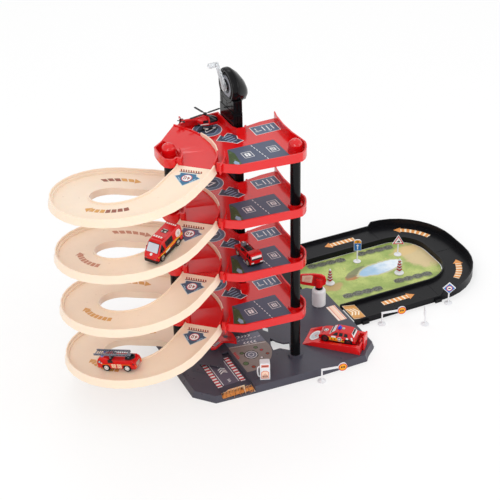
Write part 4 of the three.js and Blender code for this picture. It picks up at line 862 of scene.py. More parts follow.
white_plastic = moulded("white_plastic", (228, 229, 232), 0.3, 0.05, 0.03)
post_low, post_high = box_of("gate_post")
post = Model()
post.turned(white_plastic, [(0, 0), (12, 0), (12.5, 0.5), (12.5, 28), (12.1, 30.4), (10.9, 32.5),
                            (9.2, 33.6), (7.6, 33.9), (0, 33.9)], steps=48)
post.turned(gloss_black, [(0, 33.5), (7, 33.5), (7, 38.3), (6.6, 38.7), (2.5, 38.7), (2.5, 51.2),
                          (2.2, 51.7), (0, 51.7)], steps=32)
post.made("gate_post_turned", "gate_post", "white_plastic",
          moved((post_low.x + post_high.x) / 2, (post_low.y + post_high.y) / 2, post_low.z))
softened("gate_arm", glossy_red, 0.6, name="gate_arm_board")
dark_red_ink = ink("dark_red", 128, 20, 26)
arm_turn = math.radians(-33)
along = Vector((math.cos(arm_turn), math.sin(arm_turn), 0))
for side, what in ((1, "front"), (-1, "back")):
    label = Sticker()
    label.outlined(salmon_ink, peach_ink, [(-31.4, -4), (-13, -6.4), (-10.4, 9.6), (-14, 11),
                                           (-31, 8.6)], 1)
    for i in range(4):
        label.bar(salmon_ink, i - 22, -2.6 + 3 * i, 11, 1, 3, 2)
    for i in range(9):
        label.bar(dark_red_ink, 2 * i - 8, 4.2 - 0.32 * i, 1.1, 11 - 0.9 * i, -8)
    label.line(dark_red_ink, [(-9.4, -7.6), (-1, -8.4), (5, -6.2)], 1)
    label.line(dark_red_ink, [(-35, -5), (-35, 5)], 1)
    for vertex in label.sheet.verts:
        vertex.co.x *= side
    bmesh.ops.reverse_faces(label.sheet, faces=label.sheet.faces if side < 0 else [])
    face = Vector((109, 120, 64.3)) + Vector((along.y, -along.x, 0)) * 2 * side
    label.lay(f"gate_arm_print_{what}", on_plane(face, along * side), "deck_red", body="road_gate")


# Spanner gate: a flat spanner of red plastic on a pin by the foot of the last landing, with a
# printed outline, a grey label on its shank and dark marks on its jaw.
softened("spanner_gate", glossy_red, 0.7)
grip = Sticker()
grip.line(dark_red_ink, [(-38, 0), (-34, 3.4), (-14, 3.4), (-8, 12), (0, 19)], 0.9)
grip.line(dark_red_ink, [(-38, 0), (-34, -3.4), (-14, -3.4), (-8, -12), (-4, -20)], 0.9)
grip.outlined(white_ink, lane_ink, [(-34, -2.4), (-20, -2.4), (-20, 2.4), (-34, 2.4)], 0.7, 1)
for i in range(3):
    grip.bar(white_ink, -30.5 + 3.4 * i, 0, 1.2, 2.4, 0, 3)
for i in range(4):
    grip.bar(dark_red_ink, -2 + 3.3 * i, 10.5 - 1.4 * i, 1.5, 9.5, -18)
    grip.bar(dark_red_ink, -3.6 + 2.6 * i, -8.6 + 0.9 * i, 1.3, 8, 14)
grip.lay("spanner_print", Carrier("spanner_gate").flat(-92, 89, 30, level=24), "deck_red",
         body="spanner")


# Launcher: the red plastic trough, the slider with its pull tab and lug, the hidden steel
# spring, and a sticker of a white oval with a pink mark on the slope that the car leaves by.
softened("launcher_base", glossy_red, 0.7, name="launcher_trough")
softened("launcher_slider", glossy_red, name="launcher_pull_tab")
steel = Finish("spring_steel", metallic=1.0, roughness=0.3)
steel.set("Base Color", steel.mix(steel.noise(1.6), linear(128, 131, 136), linear(178, 180, 184)))
softened("launcher_spring", steel, 0.2, name="launcher_spring_coil")
oval = Sticker()
for layer, (tone, across, tall) in enumerate(((dark_red_ink, 1.07, 1.05), (white_ink, 1, 1),
                                              (pale_ink, 0.72, 0.72)), 1):
    oval.shape(tone, [(9.6 * across * u, 14.4 * tall * v) for u, v in ring(0, 0, 1, 32)], layer)
oval.chevron(salmon_ink, -0.8, 0, 4.4, 9, 2.2, 0, 4)
oval.lay("launcher_print", Carrier("launcher_base").flat(54.5, 29.5, 135), "deck_red", 1.5)


# Fuel pump: one small moulding of white plastic that plugs into the board, with a waist and a
# hose at its side. Salmon labels with dark marks are stuck on its face.
softened("fuel_pump", white_plastic, 0.6)
pump_turn = math.radians(-22)
pump_right = Vector((math.cos(pump_turn), math.sin(pump_turn), 0))
pump_face = Vector((-75, -34, 12.3)) + Vector((pump_right.y, -pump_right.x, 0)) * 6.5
labels = Sticker()
labels.panel(salmon_ink, -6.4, 6.4, 25.6, 31)
labels.bar(dark_red_ink, 0, 28.3, 9.6, 1.6)
for tone, layer, wide, low, side, neck, high in ((salmon_ink, 0, 6.6, 2.6, 15.6, 3, 18.6),
                                                 (peach_ink, 1, 5.4, 3.8, 14.8, 2.4, 17.2)):
    labels.shape(tone, [(-wide, low), (wide, low), (wide, side), (neck, high), (-neck, high),
                        (-wide, side)], layer)
labels.bar(dark_red_ink, 0, 7, 8.6, 3.8, 0, 2)
labels.bar(peach_ink, 0, 7, 6.6, 0.8, 0, 3)
labels.chevron(salmon_ink, 0, 12.2, 2.4, 5, 1.4, 90, 2)
labels.lay("fuel_pump_print", on_plane(pump_face, pump_right), "white_plastic")


# Road loop: six open-bottomed sections of near-black plastic, clipped end to end, with dashed
# arrow stickers and a chevron board where the road leaves the base.
road_black = moulded("road_black_plastic", (20, 20, 23), 0.3, 0.05, 0.16, shine=0.14)
sections = [node for node in frame["nodes"] if node.startswith("track_")]
for node in sections:
    softened(node, road_black, 0.6, 25)
road_face = Carrier(*sections)
for what, length, place, step in (("front", 67.5, road_face.flat(218, 76, level=6), None),
                                  ("end", 66, road_face.bend(330, 160, 90, -53, 1, 50), 2.5),
                                  ("far", 74, road_face.bend(330, 204, 94, 22, 1, 50), 2.5),
                                  ("back", 66, road_face.flat(281, 297, 180, level=6), None)):
    arrow = dashed_arrow(length, 11.5, 14, orange_ink, orange_ink, 6, cream_ink)
    arrow.lay(f"{what}_road_arrow", place, "track_black", step)
entry_board = Sticker()
entry_board.outlined(cream_ink, tan_ink, [(-13, -23), (13, -23), (13, 23), (-13, 23)], 1.2)
for y in (-20, 20):
    entry_board.line(brown_ink, [(-11, y), (11, y)], 0.9, 2)
for i in range(3):
    entry_board.chevron(cream_ink, -5.4 + 6.6 * i, 0, 6.4, 22, 3.2, 0, 2)
entry_board.lay("entry_road_print", road_face.flat(156.8, 72.5), "track_black", 3)


# Play mat: a thin sheet of coated paper that lies loose inside the loop. Its print has a
# meadow, four rows of dark bushes, a pond with a rocky shore, patches of sand and a flower
# bed, all reckoned from the place.
meadow = Finish("mat_print_paper", roughness=0.55, coat_weight=0.12)
split = meadow.node("ShaderNodeSeparateXYZ", sockets={0: meadow.place()}).socket.node
across_mat, along_mat = (Value(meadow, split.outputs[i]) * 1000 for i in range(2))
blades = meadow.noise(3.2, 4, 0.7)
drifts = meadow.noise(38, 3)
wobble = meadow.noise(16, 3, 0.6) - 0.5
grass = meadow.mix(drifts.within(0.35, 0.65), linear(150, 172, 88), linear(188, 200, 116))


def around(x, y, reach_x, reach_y, soft, turn, ripple):
    """1 inside an oval in the mat's plane and 0 outside, with a soft rippled edge."""
    cos_turn = math.cos(math.radians(turn))
    sin_turn = math.sin(math.radians(turn))
    u = ((across_mat - x) * cos_turn + (along_mat - y) * sin_turn) / reach_x
    v = ((along_mat - y) * cos_turn - (across_mat - x) * sin_turn) / reach_y
    return 1 - (u * u + v * v + wobble * ripple).within(1 - soft, 1 + soft)


water = meadow.mix((across_mat * 0.01 + wobble).within(2.4, 3.3), linear(158, 194, 222),
                   linear(236, 243, 248))
for share, colour in (
        (blades.within(0.52, 0.68) * 0.5, linear(108, 134, 62)),
        (around(372, 196, 36, 44, 0.4, 10, 1.6) * 0.85, linear(216, 190, 148)),
        (around(352, 222, 30, 14, 0.5, 0, 2.0) * 0.7, linear(222, 190, 130)),
        (around(168, 172, 20, 13, 0.5, 0, 2.2) * 0.8, linear(196, 158, 110)),
        (around(214, 184, 14, 9, 0.35, 0, 1.4) * 0.9, linear(178, 116, 70)),
        (around(228, 197, 26, 9, 0.3, 24, 1.8) * 0.85, linear(120, 122, 92)),
        (around(278, 189, 52, 20, 0.12, 5, 1.1), linear(198, 196, 160)),
        (around(279, 189, 48, 16.5, 0.1, 5, 1.1), water)):
    grass = meadow.mix(share, grass, colour)
leaves = meadow.noise(2.6, 3, 0.8)
foliage = meadow.mix(leaves.within(0.4, 0.62), linear(58, 62, 50), linear(122, 124, 112))
for x0, y0, x1, y1 in ((155, 253, 233, 247), (262, 250, 338, 246), (168, 135, 248, 129),
                       (278, 136, 357, 131)):
    run = Vector((x1 - x0, y1 - y0))
    way = run.normalized()
    along_row = (across_mat - x0) * way.x + (along_mat - y0) * way.y
    aside = ((along_mat - y0) * way.x - (across_mat - x0) * way.y) / 7.6
    step = run.length / 4
    near = abs(along_row % step - step / 2) / (step * 0.6)
    inside = (along_row > 0) * (along_row < run.length)
    below = aside + 0.3
    shadow = 1 - (near * near + below * below + wobble * 0.6).within(0.8, 1.5)
    clump = 1 - (near * near + aside * aside + wobble * 0.9).within(0.7, 1.15)
    grass = meadow.mix(shadow * inside * 0.55, grass, linear(92, 108, 54))
    grass = meadow.mix(clump * inside, grass, foliage)
blossom = meadow.noise(4.4, 1).within(0.72, 0.76)
bed = around(262, 215, 52, 8, 0.4, -2, 1.6)
meadow.set("Base Color", meadow.mix(blossom * bed, grass, linear(232, 196, 120)))
meadow.set("Roughness", blades * 0.16 + 0.46)
meadow.bump(meadow.noise(1.4), 0.03, 0.3)
softened("play_mat", meadow, 0.2, name="play_mat_sheet")


# Road signs: thin boards on poles with round feet, moulded in white plastic, with plain marks
# printed on their faces. Two have a bent arm and a round disc; the small one shows its clear
# back.
blue_ink = ink("blue", 44, 110, 178, 0.06)
amber_ink = ink("amber", 238, 158, 32)
sign_red_ink = ink("sign_red", 206, 38, 46, 0.06)
sign_gap = 2.42
mat_top = 1.3


def sign_face(x, y, low, facing=-115):
    """The printed face of a sign whose pole stands at x and y and that looks that way."""
    out = Vector((math.cos(math.radians(facing)), math.sin(math.radians(facing)), 0))
    return on_plane(Vector((x, y, low)) + out * sign_gap, (-out.y, out.x, 0))


for node in ("info_sign", "warning_sign", "diamond_sign", "small_sign", "arm_sign_1", "arm_sign_2"):
    softened(node, white_plastic, 0.25, 50)
info = Sticker()
info.panel(blue_ink, -6.4, 6.4, 26.6, 42.2)
info.shape(amber_ink, [(-6.4, 42.6), (6.4, 42.6), (6.4, 46.6), (3.4, 49.4), (-3.4, 49.4),
                       (-6.4, 46.6)])
info.bar(white_ink, 0, 34, 1.7, 10.4)
info.chevron(white_ink, 0, 38.8, 2.4, 5.2, 1.4, 90)
info.disc(black_ink, 0, 45.8, 2.3, 1, 16)
info.disc(amber_ink, 0, 45.8, 1.2, 2, 12)
warning = Sticker()
warning.outlined(sign_red_ink, white_ink, [(-10.6, 25.582), (10.6, 25.582), (0, 44)], 3.4)
warning.shape(black_ink, [(-3.4, 29.4), (3.2, 29.4), (3.2, 31.4), (0.4, 33.8), (-0.6, 32),
                          (-3.4, 30.6)], 2)
diamond = Sticker()
diamond.outlined(white_ink, blue_ink, [(0, -11.3), (11.3, 0), (0, 11.3), (-11.3, 0)], 1)
diamond.disc(sign_red_ink, 0, 0, 5.6, 2)
diamond.disc(white_ink, 0, 0, 4.3, 3)
diamond.shape(black_ink, [(-2.6, -1.2), (2.6, -1.2), (2.6, 0.2), (1.2, 1.4), (-1.2, 1.4),
                          (-2.6, 0.2)], 4)
for sheet, what, place in ((info, "info", sign_face(250, 229, mat_top)),
                           (warning, "warning", sign_face(332, 215, mat_top)),
                           (diamond, "diamond", sign_face(331, 31, 34))):
    sheet.lay(f"{what}_sign_print", place, "white_plastic")
for number, x, y in ((1, 14, -72), (2, 189, 28)):
    disc = Sticker()
    disc.disc(sign_red_ink, 36, 25, 7.6, 0, 36)
    disc.disc(amber_ink, 36, 25, 6.2, 1, 36)
    disc.shape(black_ink, [(32.6, 23.4), (35.2, 23.4), (35.4, 26.4), (34, 27.2), (32.6, 26.4)], 2)
    disc.shape(black_ink, [(36.6, 23.4), (39.4, 23.4), (39.4, 26), (38, 27.2), (36.6, 26.4)], 2)
    disc.lay(f"arm_sign_{number}_print", sign_face(x, y, 0, -103), "white_plastic")


# Traffic cones: white plastic cones, each moulded in one piece with its round foot. Four red
# zigzag rings are printed round each.
for number, x, y in ((1, 167, 185), (2, 301, 157)):
    cone = Model()
    cone.turned(white_plastic, [(0, 0), (8.7, 0), (9, 0.4), (9, 1.5), (8.5, 2.1), (6.3, 3.6),
                                (5.6, 5.1), (5.35, 6.2), (1.9, 30.6), (1.5, 31.6), (0.9, 32),
                                (0, 32)], steps=36)
    for low in (7.6, 13.2, 18.8, 24.4):
        band = bmesh.new()
        rows = []
        for base in (low, low + 3.6):
            rows.append([])
            for k in range(24):
                height = base + (1.2 if k % 6 < 3 else 0) * (1 if k % 3 else 0.5)
                reach = 5.35 - (height - 6.2) * (3.45 / 24.4) + 0.12
                turn = math.tau * k / 24
                spot = (reach * math.cos(turn), reach * math.sin(turn), height)
                rows[-1].append(band.verts.new(spot))
        for k in range(24):
            beside = (k + 1) % 24
            band.faces.new((rows[0][k], rows[0][beside], rows[1][beside], rows[1][k]))
        bmesh.ops.solidify(band, geom=band.faces[:], thickness=0.3)
        bmesh.ops.recalc_face_normals(band, faces=band.faces)
        cone.join(band, sign_red_ink)
    cone.made(f"cone_{number}_turned", f"cone_{number}", "white_plastic", moved(x, y, mat_top))


# Vehicles: small cars, cast in metal and painted, with plastic wheels. Each body is a side
# outline drawn across its width, leaning in over the belt line and towards the nose. Glass,
# stripes and lights follow the same leaning.
wheel_reach = 6.5


class Car(Model):
    """A car in its own frame: nose to +X, wheels on z = 0, in millimetres."""

    def __init__(self, width, belt, top, lean, nose_from, nose_end, nose):
        super().__init__()
        self.width = width
        self.form = (belt, top, lean, nose_from, nose_end, nose)

    def squeeze(self, part):
        """Leans the sides in over the belt line and towards the nose."""
        belt, top, lean, nose_from, nose_end, nose = self.form
        for point, way in (((0, belt, 0), (0, 1, 0)), ((nose_from, 0, 0), (1, 0, 0))):
            whole = part.verts[:] + part.edges[:] + part.faces[:]
            bmesh.ops.bisect_plane(part, geom=whole, dist=1e-5, plane_co=point, plane_no=way)
        for vertex in part.verts:
            above = max(0, (vertex.co.y - belt) / (top - belt))
            ahead = max(0, (vertex.co.x - nose_from) / (nose_end - nose_from))
            vertex.co.z *= (1 - lean * above) * (1 - nose * ahead * ahead)

    def across(self, finish, more, radius, *outline, segments=2):
        """An outline in length and height, drawn out to the width and a little more."""
        half = (self.width + more) / 2
        self.slab(finish, outline, -half, half, radius, moved(0, 0, 0, 90, "X"), segments,
                  self.squeeze)

    def panels(self, *rows):
        """Rows of a finish, how far it stands out, x from and to, and z from and to."""
        for finish, more, x0, x1, z0, z1 in rows:
            self.across(finish, more, 0, (x0, z0), (x0, z1), (x1, z1), (x1, z0))

    def badge(self, x, z, sides, *rows):
        """Discs on the doors, as rows of a finish, a radius and how far it stands out."""
        for finish, radius, more in rows:
            self.across(finish, more, 0, *ring(x, z, radius, sides))

    def body(self, low, arch, radius, axles, *upper):
        """The red body, whose lower edge rises in an arch over each axle."""
        outline = list(upper)
        first = math.asin((low - wheel_reach) / arch)
        for x in axles:
            for i in range(11):
                turn = first + (math.pi - 2 * first) * i / 10
                outline.append((x + arch * math.cos(turn), wheel_reach + arch * math.sin(turn)))
        self.across(car_red, 0, radius, *outline, segments=3)

    def wells(self, axles, reach, low, high, half, side=0, width=0, hub=None):
        """A dark well over each axle and, with a side, the two wheels in it."""
        for x in axles:
            self.boxes((trim_black, x - reach, x + reach, low, high, half, 0))
            for way in (-side, side) if side else ():
                wheel(self, x, way, width, hub)


def wheel(model, x, side, width, hub):
    """A tyre and its hub, the outer face at that distance to one side."""
    place = moved(x, side, wheel_reach, -90 if side > 0 else 90, "X")
    tyre = wheel_reach
    rim = tyre * 0.62
    model.turned(rubber, [(0, -width), (tyre - 0.5, -width), (tyre, -width + 0.5), (tyre, -0.7),
                         (tyre - 0.25, -0.3), (tyre - 0.8, 0), (rim + 0.5, 0), (rim, -0.7),
                         (0, -0.7)], place, 32)
    model.turned(hub, [(0, -0.9), (rim, -0.9), (rim, -0.2), (rim - 0.35, 0), (rim - 0.8, -0.25),
                      (rim * 0.66, -0.6), (rim * 0.34, -0.5), (rim * 0.26, -0.1), (0, 0)],
                place, 24)
    for u, v in ring(0, 0, rim * 0.62, 5):
        model.turned(trim_black, [(0, -0.62), (rim * 0.15, -0.62), (rim * 0.15, -0.36),
                                 (0, -0.36)], place @ moved(u, v, 0), 10)


def standing(x, y, z, heading, pitch=0):
    """Where a car stands: its middle on the road, its nose's turn and how far it tips down."""
    return moved(x, y, z, heading) @ moved(0, 0, 0, pitch, "Y")


car_red = moulded("car_red_paint", (206, 12, 18), 0.18, 0.15, 0.03, 0.1, 0.4)
glass_black = moulded("car_glass_black", (18, 20, 26), 0.1, 0.1, 0.2, 0.05)
blue_glass = moulded("car_glass_blue", (176, 204, 214), 0.14, 0, 0.1, 0.1)
# silver trim, and on the van's windscreen a painted reflection of the bright room
silver_and_screen_sheen = moulded("silver_trim_and_screen_sheen", (196, 202, 212), 0.14, 0.1, 0.1, 0.1)
ladder_grey = moulded("ladder_grey", (128, 132, 146), 0.34, 0, 0.12)
trim_black = moulded("car_trim_black", (26, 26, 29), 0.4, 0, 0.12)
rubber = moulded("tyre_black", (24, 24, 26), 0.62, 0, 0.14)
hub_grey = moulded("hub_grey", (186, 180, 168), 0.3, 0.05, 0.1)
# white hubs and marks, and on the race car's screens a painted reflection
hub_white_and_screen_sheen = moulded("hub_white_and_screen_sheen", (230, 230, 228), 0.3, 0.05, 0.04)
hub_maroon = moulded("hub_maroon", (104, 24, 32), 0.3, 0.05, 0.1)
yellow_paint = moulded("yellow_paint", (240, 176, 32), 0.3, 0.05, 0.05)
# white paint, and over the crane's windscreen a painted reflection
white_paint_and_screen_sheen = moulded("white_paint_and_screen_sheen", (228, 228, 226), 0.3, 0.05, 0.04)
blue_lamp = moulded("blue_lamp", (24, 66, 214), 0.14, 0.2, 0.06)
amber_lamp = moulded("amber_lamp", (240, 110, 20), 0.18, 0.1, 0.06)
engine_grey = moulded("engine_grey", (104, 108, 116), 0.36, 0, 0.12)

# Van: a red rescue van whose windscreen has a painted silver reflection, with black side glass,
# a yellow stripe, round plain badges and a roof hatch. Its two axles roll, so each is its own
# piece.
joint_places = {joint["name"]: Vector(joint["pos_m"]) / mm for joint in frame["joints"]
                if "pos_m" in joint}
front_hub = joint_places["van_front_roll"]
rear_hub = joint_places["van_rear_roll"]
run = front_hub - rear_hub
van_turn = math.degrees(math.atan2(run.y, run.x))
van_tip = math.degrees(-math.asin(run.z / run.length))
van_axles = (run.length / 2, -run.length / 2)
van_stand = standing(*(front_hub + rear_hub) / 2, van_turn, van_tip) @ moved(0, 0, -wheel_reach)
van = Car(27.6, 16.5, 33, 0.17, 20, 35, 0.16)
van.body(5.6, 7.6, 1.1, van_axles, (-35, 5.6), (-35, 29), (-33.4, 32), (-31, 33), (12, 33),
         (16.4, 32.4), (19, 31), (29.6, 18.6), (33.6, 15.4), (35, 12.4), (35, 5.6))
van.across(trim_black, 0.4, 0.4, (-35.3, 3.6), (-35.3, 7.4), (-33, 7.4), (-33, 5.8), (-14, 5.8),
           (-14, 7.4), (13, 7.4), (13, 5.8), (33, 5.8), (33, 9.2), (35.6, 9.2), (35.6, 3.6))
van.wells(van_axles, 7.4, 4, 14.5, 7.4)
van.across(glass_black, 0.5, 0.3, (13.4, 17.6), (16.8, 29.4), (18.2, 29.4), (27, 18.8),
           (26.4, 17.6))
van.across(glass_black, 0.5, 0.3, (-9.5, 18.2), (-9.5, 28.6), (8.6, 28.6), (9.8, 27.4), (9.8, 18.2))
van.panels((engine_grey, 0.7, -8.6, 9, 19, 23), (glass_black, 0.9, -8.2, 8.6, 19.5, 27.6))
van.across(yellow_paint, 0.4, 0, (-34.6, 14.4), (-34.6, 16), (31, 14), (31, 12.2))
van.across(yellow_paint, 0.4, 0, (-34.9, 16.8), (-34.9, 17.6), (12, 16.9), (12, 16.1))
van.across(trim_black, 0.3, 0, (-13.6, 5.8), (-13.6, 10.8), (13.4, 10.4), (13.4, 5.8))
van.across(white_paint_and_screen_sheen, 0.5, 0, (1, 10.8), (1, 13), (12.4, 12.2), (12.4, 10))
van.badge(-24.5, 22.4, 24, (white_paint_and_screen_sheen, 6.4, 0.4), (salmon_ink, 5.2, 0.6), (white_paint_and_screen_sheen, 4.6, 0.8),
          (hub_grey, 2.8, 1))
# the windscreen's silver face is a painted reflection, in front of the dark glass
van.across(silver_and_screen_sheen, -5.5, 0.2, (28.9, 20), (20.2, 30.3), (21, 30.7), (30.1, 20))
van.across(glass_black, -4, 0.2, (27.5, 19.2), (19.6, 30.9), (20.3, 31.2), (29.3, 19.4))
van.turned(white_paint_and_screen_sheen, [(0, 0), (2.3, 0), (2.1, 0.5), (0, 0.7)], moved(31.7, 0, 16.9, 40, "Y"), 20)
van.boxes((engine_grey, 34.2, 35.1, 10.6, 12.6, 1.8, 0.4, 8.2),
          (amber_lamp, -35.4, -34.6, 12, 20, 1.4, 0.3, 10.2),
          (trim_black, 20.6, 22.6, 18, 22.4, 0.9, 0.5, 14.6),
          (trim_black, -35.4, -34.9, 7, 31, 0.2, 0),
          (glass_black, -35.4, -34.8, 19.5, 29, 4.5, 0.2, 5.5),
          (car_red, 5.6, 12.4, 32.6, 35.3, 9.6, 0.9),
          (trim_black, -13.6, -4.4, 32.8, 33.4, 5.2, 0.2),
          (white_paint_and_screen_sheen, -12.6, -11.6, 33.2, 33.6, 4.2, 0))
for y0, y1 in ((-4.2, -2.6), (1, 4.2)):
    van.box(white_paint_and_screen_sheen, (-8.4, y0, 33.2), (-5.4, y1, 33.6), 0)
for i in range(4):
    van.box(white_paint_and_screen_sheen, (7.2, -8.2 + 4.4 * i, 34.9), (10.9, -5.2 + 4.4 * i, 35.5), 0.2)
for i in range(5):
    van.box(white_paint_and_screen_sheen, (-29.4, -9 + 3.8 * i, 32.8), (-26.6, -6.4 + 3.8 * i, 33.3), 0)
van.made("van_bodywork", "van_body", "vehicle_red", van_stand)
for end, x in zip(("front", "rear"), van_axles):
    axle = Model()
    for side in (-14, 14):
        wheel(axle, x, side, 6, hub_grey)
    axle.rod(hub_grey, (x, -9, wheel_reach), (x, 9, wheel_reach), 1.5)
    axle.made(f"van_{end}_axle_wheels", f"van_{end}_axle", "vehicle_black", van_stand,
              f"van_{end}_wheels")


# Fire engine: a low red body with an orange line, door marks and white hubs. A black mast at its
# rear carries the grey ladder, which reaches over the cab and rises on its own joint.
engine_turn = standing(0, 0, 0, 135, 11.07)
ladder_foot = Vector((-22.4, 0, 23.66))
engine_spot = joint_places["ladder_raise"] - engine_turn @ ladder_foot
engine_stand = Matrix.Translation(engine_spot) @ engine_turn
engine = Car(24.6, 14, 26, 0.1, 24, 35, 0.16)
engine.body(5.6, 7.4, 1, (19, -19), (-35, 5.6), (-35, 12), (-33.4, 17.6), (-29.6, 20.6),
            (9.4, 20.8), (12.4, 23.6), (16, 25.4), (27, 25.2), (31.6, 22.4), (34.4, 16.4), (35, 12),
            (35, 5.6))
engine.wells((19, -19), 7.2, 4.4, 14, 6.6, 12.3, 5.4, hub_white_and_screen_sheen)
engine.across(glass_black, 0.4, 0.3, (27.4, 15.4), (26.4, 19.6), (30.4, 19.8), (33, 15.4))
engine.across(blue_glass, 0.7, 0.3, (28, 15.8), (27.2, 19), (29.6, 19.2), (31.6, 15.8))
engine.across(trim_black, 0.3, 0.2, (4.2, 16.4), (4.2, 20.2), (8.4, 21.4), (13.6, 22.8),
              (13.6, 16.4))
engine.across(glass_black, 0.4, 0.3, (-33.8, 13.8), (-33.4, 16), (-30.8, 16), (-30.8, 13.8))
engine.across(amber_lamp, 0.35, 0, (-27.6, 13), (-27.6, 14.2), (26, 13.8), (26, 12.6))
engine.across(glass_black, -3.6, 0.2, (33.6, 16.2), (31.2, 21.4), (32, 22), (34.4, 16.6))
engine.panels((hub_white_and_screen_sheen, 0.5, 24.4, 27, 14.8, 16.2))
for x in (-10, -5.8, 0.4, 4.6):
    for z in (7, 10.9):
        engine.panels((cream_ink, 0.45, x, x + 3.5, z, z + 3.2),
                      (orange_ink, 0.6, x + 0.7, x + 2.8, z + 0.8, z + 2.2))
for side in (-1, 1):
    engine.turned(engine_grey, [(0, 0), (2, 0), (2, 0.4), (1.4, 0.8), (0, 0.8)],
                  moved(-22.4, side * 5, 22.4, -90 * side, "X"), 20)
engine.turned(trim_black, [(0, 18.8), (8.6, 18.8), (8.6, 20.6), (7.6, 21.6), (0, 21.6)],
              moved(-22.4, 0, 0), 32)
engine.boxes((silver_and_screen_sheen, 33.6, 35.2, 9, 12, 2.2, 0.5, 8.2),
             (amber_lamp, -35.3, -34.6, 8, 12, 1.2, 0.2, 9.4),
             (trim_black, -28.6, -16.2, 19.4, 22.6, 1.7, 0.6, 5.4),
             (trim_black, -27, -16.4, 19.4, 25, 0.8, 0.6, 4.2),
             (engine_grey, 8.4, 11, 20, 26, 1, 0.4, 7),
             (hub_white_and_screen_sheen, 21.4, 26.2, 25, 25.7, 8.6, 0.2),
             (blue_lamp, 21.8, 25.8, 25.3, 26.4, 2.6, 0.35, 5.8),
             *((hub_grey, -35.4, -34.7, 7.4 + 1.5 * i, 8.3 + 1.5 * i, 6.6, 0.2) for i in range(5)))
engine.made("fire_engine_bodywork", "fire_engine_body", "vehicle_red", engine_stand)

ladder = Model()
ladder.boxes((ladder_grey, 0, 61.6, 3.4, 4.3, 1.2, 0.2, 6.5),
             (trim_black, 0, 61.4, 3.6, 6.2, 0.5, 0.2, 6.5),
             (ladder_grey, 0, 61.6, 5.6, 6.5, 1, 0.3, 6.5),
             (ladder_grey, -0.2, 3.8, 3.2, 4.4, 7.2, 0.3),
             (ladder_grey, -2.3, 2.4, 0.2, 4, 3, 0.7),
             (silver_and_screen_sheen, 59.2, 61.6, 3.5, 4.3, 6.6, 0.2),
             *((ladder_grey, 2.4 + 6.2 * i, 3.4 + 6.2 * i, 4, 6, 1.1, 0, 6.5) for i in range(10)))
for i in range(15):
    ladder.rod(ladder_grey, (2 + 4.1 * i, -6.4, 4.6), (2 + 4.1 * i, 6.4, 4.6), 0.75, 10)
ladder.made("fire_engine_ladder_rails", "fire_engine_ladder", "ladder_grey",
            engine_stand @ moved(*ladder_foot), "ladder")


# Crane truck: a red lorry on the third deck, its black lifting gear folded over the load bed
# between thin red rails, with a grey and white joint at the rear and a white band of painted
# reflection on its screen.
crane = Car(23.6, 14, 26, 0.1, 20, 30, 0.12)
crane.body(6.4, 7.4, 0.9, (18, -18), (-30, 6.4), (-30, 14.6), (-29, 15.6), (9.6, 15.6),
           (11.4, 23.4), (13.4, 25.4), (25, 25.4), (27.2, 23.8), (29.7, 16), (30, 13), (30, 6.4))
crane.wells((18, -18), 7.2, 4.6, 13, 6.4, 12, 5.4, hub_grey)
crane.across(glass_black, 0.4, 0.3, (14.4, 16.4), (15.4, 23), (20.4, 23), (20.4, 16.4))
crane.across(glass_black, 0.4, 0.3, (21.8, 16.4), (21.8, 23), (25.4, 23), (28, 16.4))
crane.across(glass_black, -2, 0.2, (29.5, 15.2), (27.4, 21.4), (28.2, 21.8), (30.1, 15.4))
# the white band over the upper windscreen is a painted reflection
crane.across(white_paint_and_screen_sheen, -2.6, 0.2, (28.4, 18.2), (27.3, 21.6), (28.3, 22), (29.4, 18.4))
for i in range(5):
    x = -28 + 7.6 * i
    crane.panels((trim_black, 0.3, x, x + 5.8, 8.8, 13.6),
                 (car_red, 0.5, x + 0.9, x + 4.9, 9.8, 12.6))
crane.boxes((trim_black, 29.2, 30.4, 5.4, 9.4, 11, 0.4),
            (white_paint_and_screen_sheen, 29.6, 30.4, 9.6, 12.2, 2.4, 0.4, 8),
            (amber_lamp, -30.3, -29.7, 7.4, 12, 1.2, 0.2, 9.4),
            (car_red, -28, 10, 15.2, 16.8, 0.5, 0.3, 10.6),
            (car_red, -12, 12, 21.4, 22.4, 0.45, 0.2, 7),
            *((car_red, x, x + 1, 15.4, 21.8, 0.4, 0, 7) for x in (-11, 0, 9)))
for finish, low, high, radius in ((trim_black, (-9.6, -5.6, 16.6), (11.6, -1.2, 22), 0.7),
                                  (trim_black, (-9.6, -0.6, 16.6), (11.6, 3.6, 23.4), 0.7),
                                  (engine_grey, (-7.6, -5.9, 18.6), (8, -0.9, 19.8), 0.3),
                                  (trim_black, (-6, -6.2, 20.6), (-3, 3.9, 23.6), 0.5),
                                  (trim_black, (-0.4, -6.2, 20.6), (2.6, 3.9, 23.6), 0.5),
                                  (trim_black, (5.2, -6.2, 20.6), (8.2, 3.9, 23.6), 0.5),
                                  (engine_grey, (-16.4, -6.4, 15.8), (-8.4, 0, 27.4), 1.2),
                                  (white_paint_and_screen_sheen, (-15.4, -4.9, 26.4), (-10.6, -1.6, 28), 0.6),
                                  (white_paint_and_screen_sheen, (-16.8, -5.4, 19), (-15.8, -1, 24), 0.3)):
    crane.box(finish, low, high, radius)
crane.rod(silver_and_screen_sheen, (-14, 2.4, 16), (-8, 2.4, 24.6), 1)
crane.turned(trim_black, [(0, 15.4), (7.6, 15.4), (7.6, 17.2), (6.6, 18.4), (0, 18.4)],
             moved(-9.6, -2, 0), 32)
crane.turned(engine_grey, [(0, -4), (2.8, -4), (3.2, -3.4), (3.2, 3.4), (2.8, 4), (0, 4)],
             moved(-12, -3.2, 24.6, 90, "X"), 24)
seat_gap = 0.3
crane.made("crane_truck_bodywork", "crane_truck", "vehicle_red",
           standing(-71.04, 30.02, deck_level[3] + seat_gap, 272))
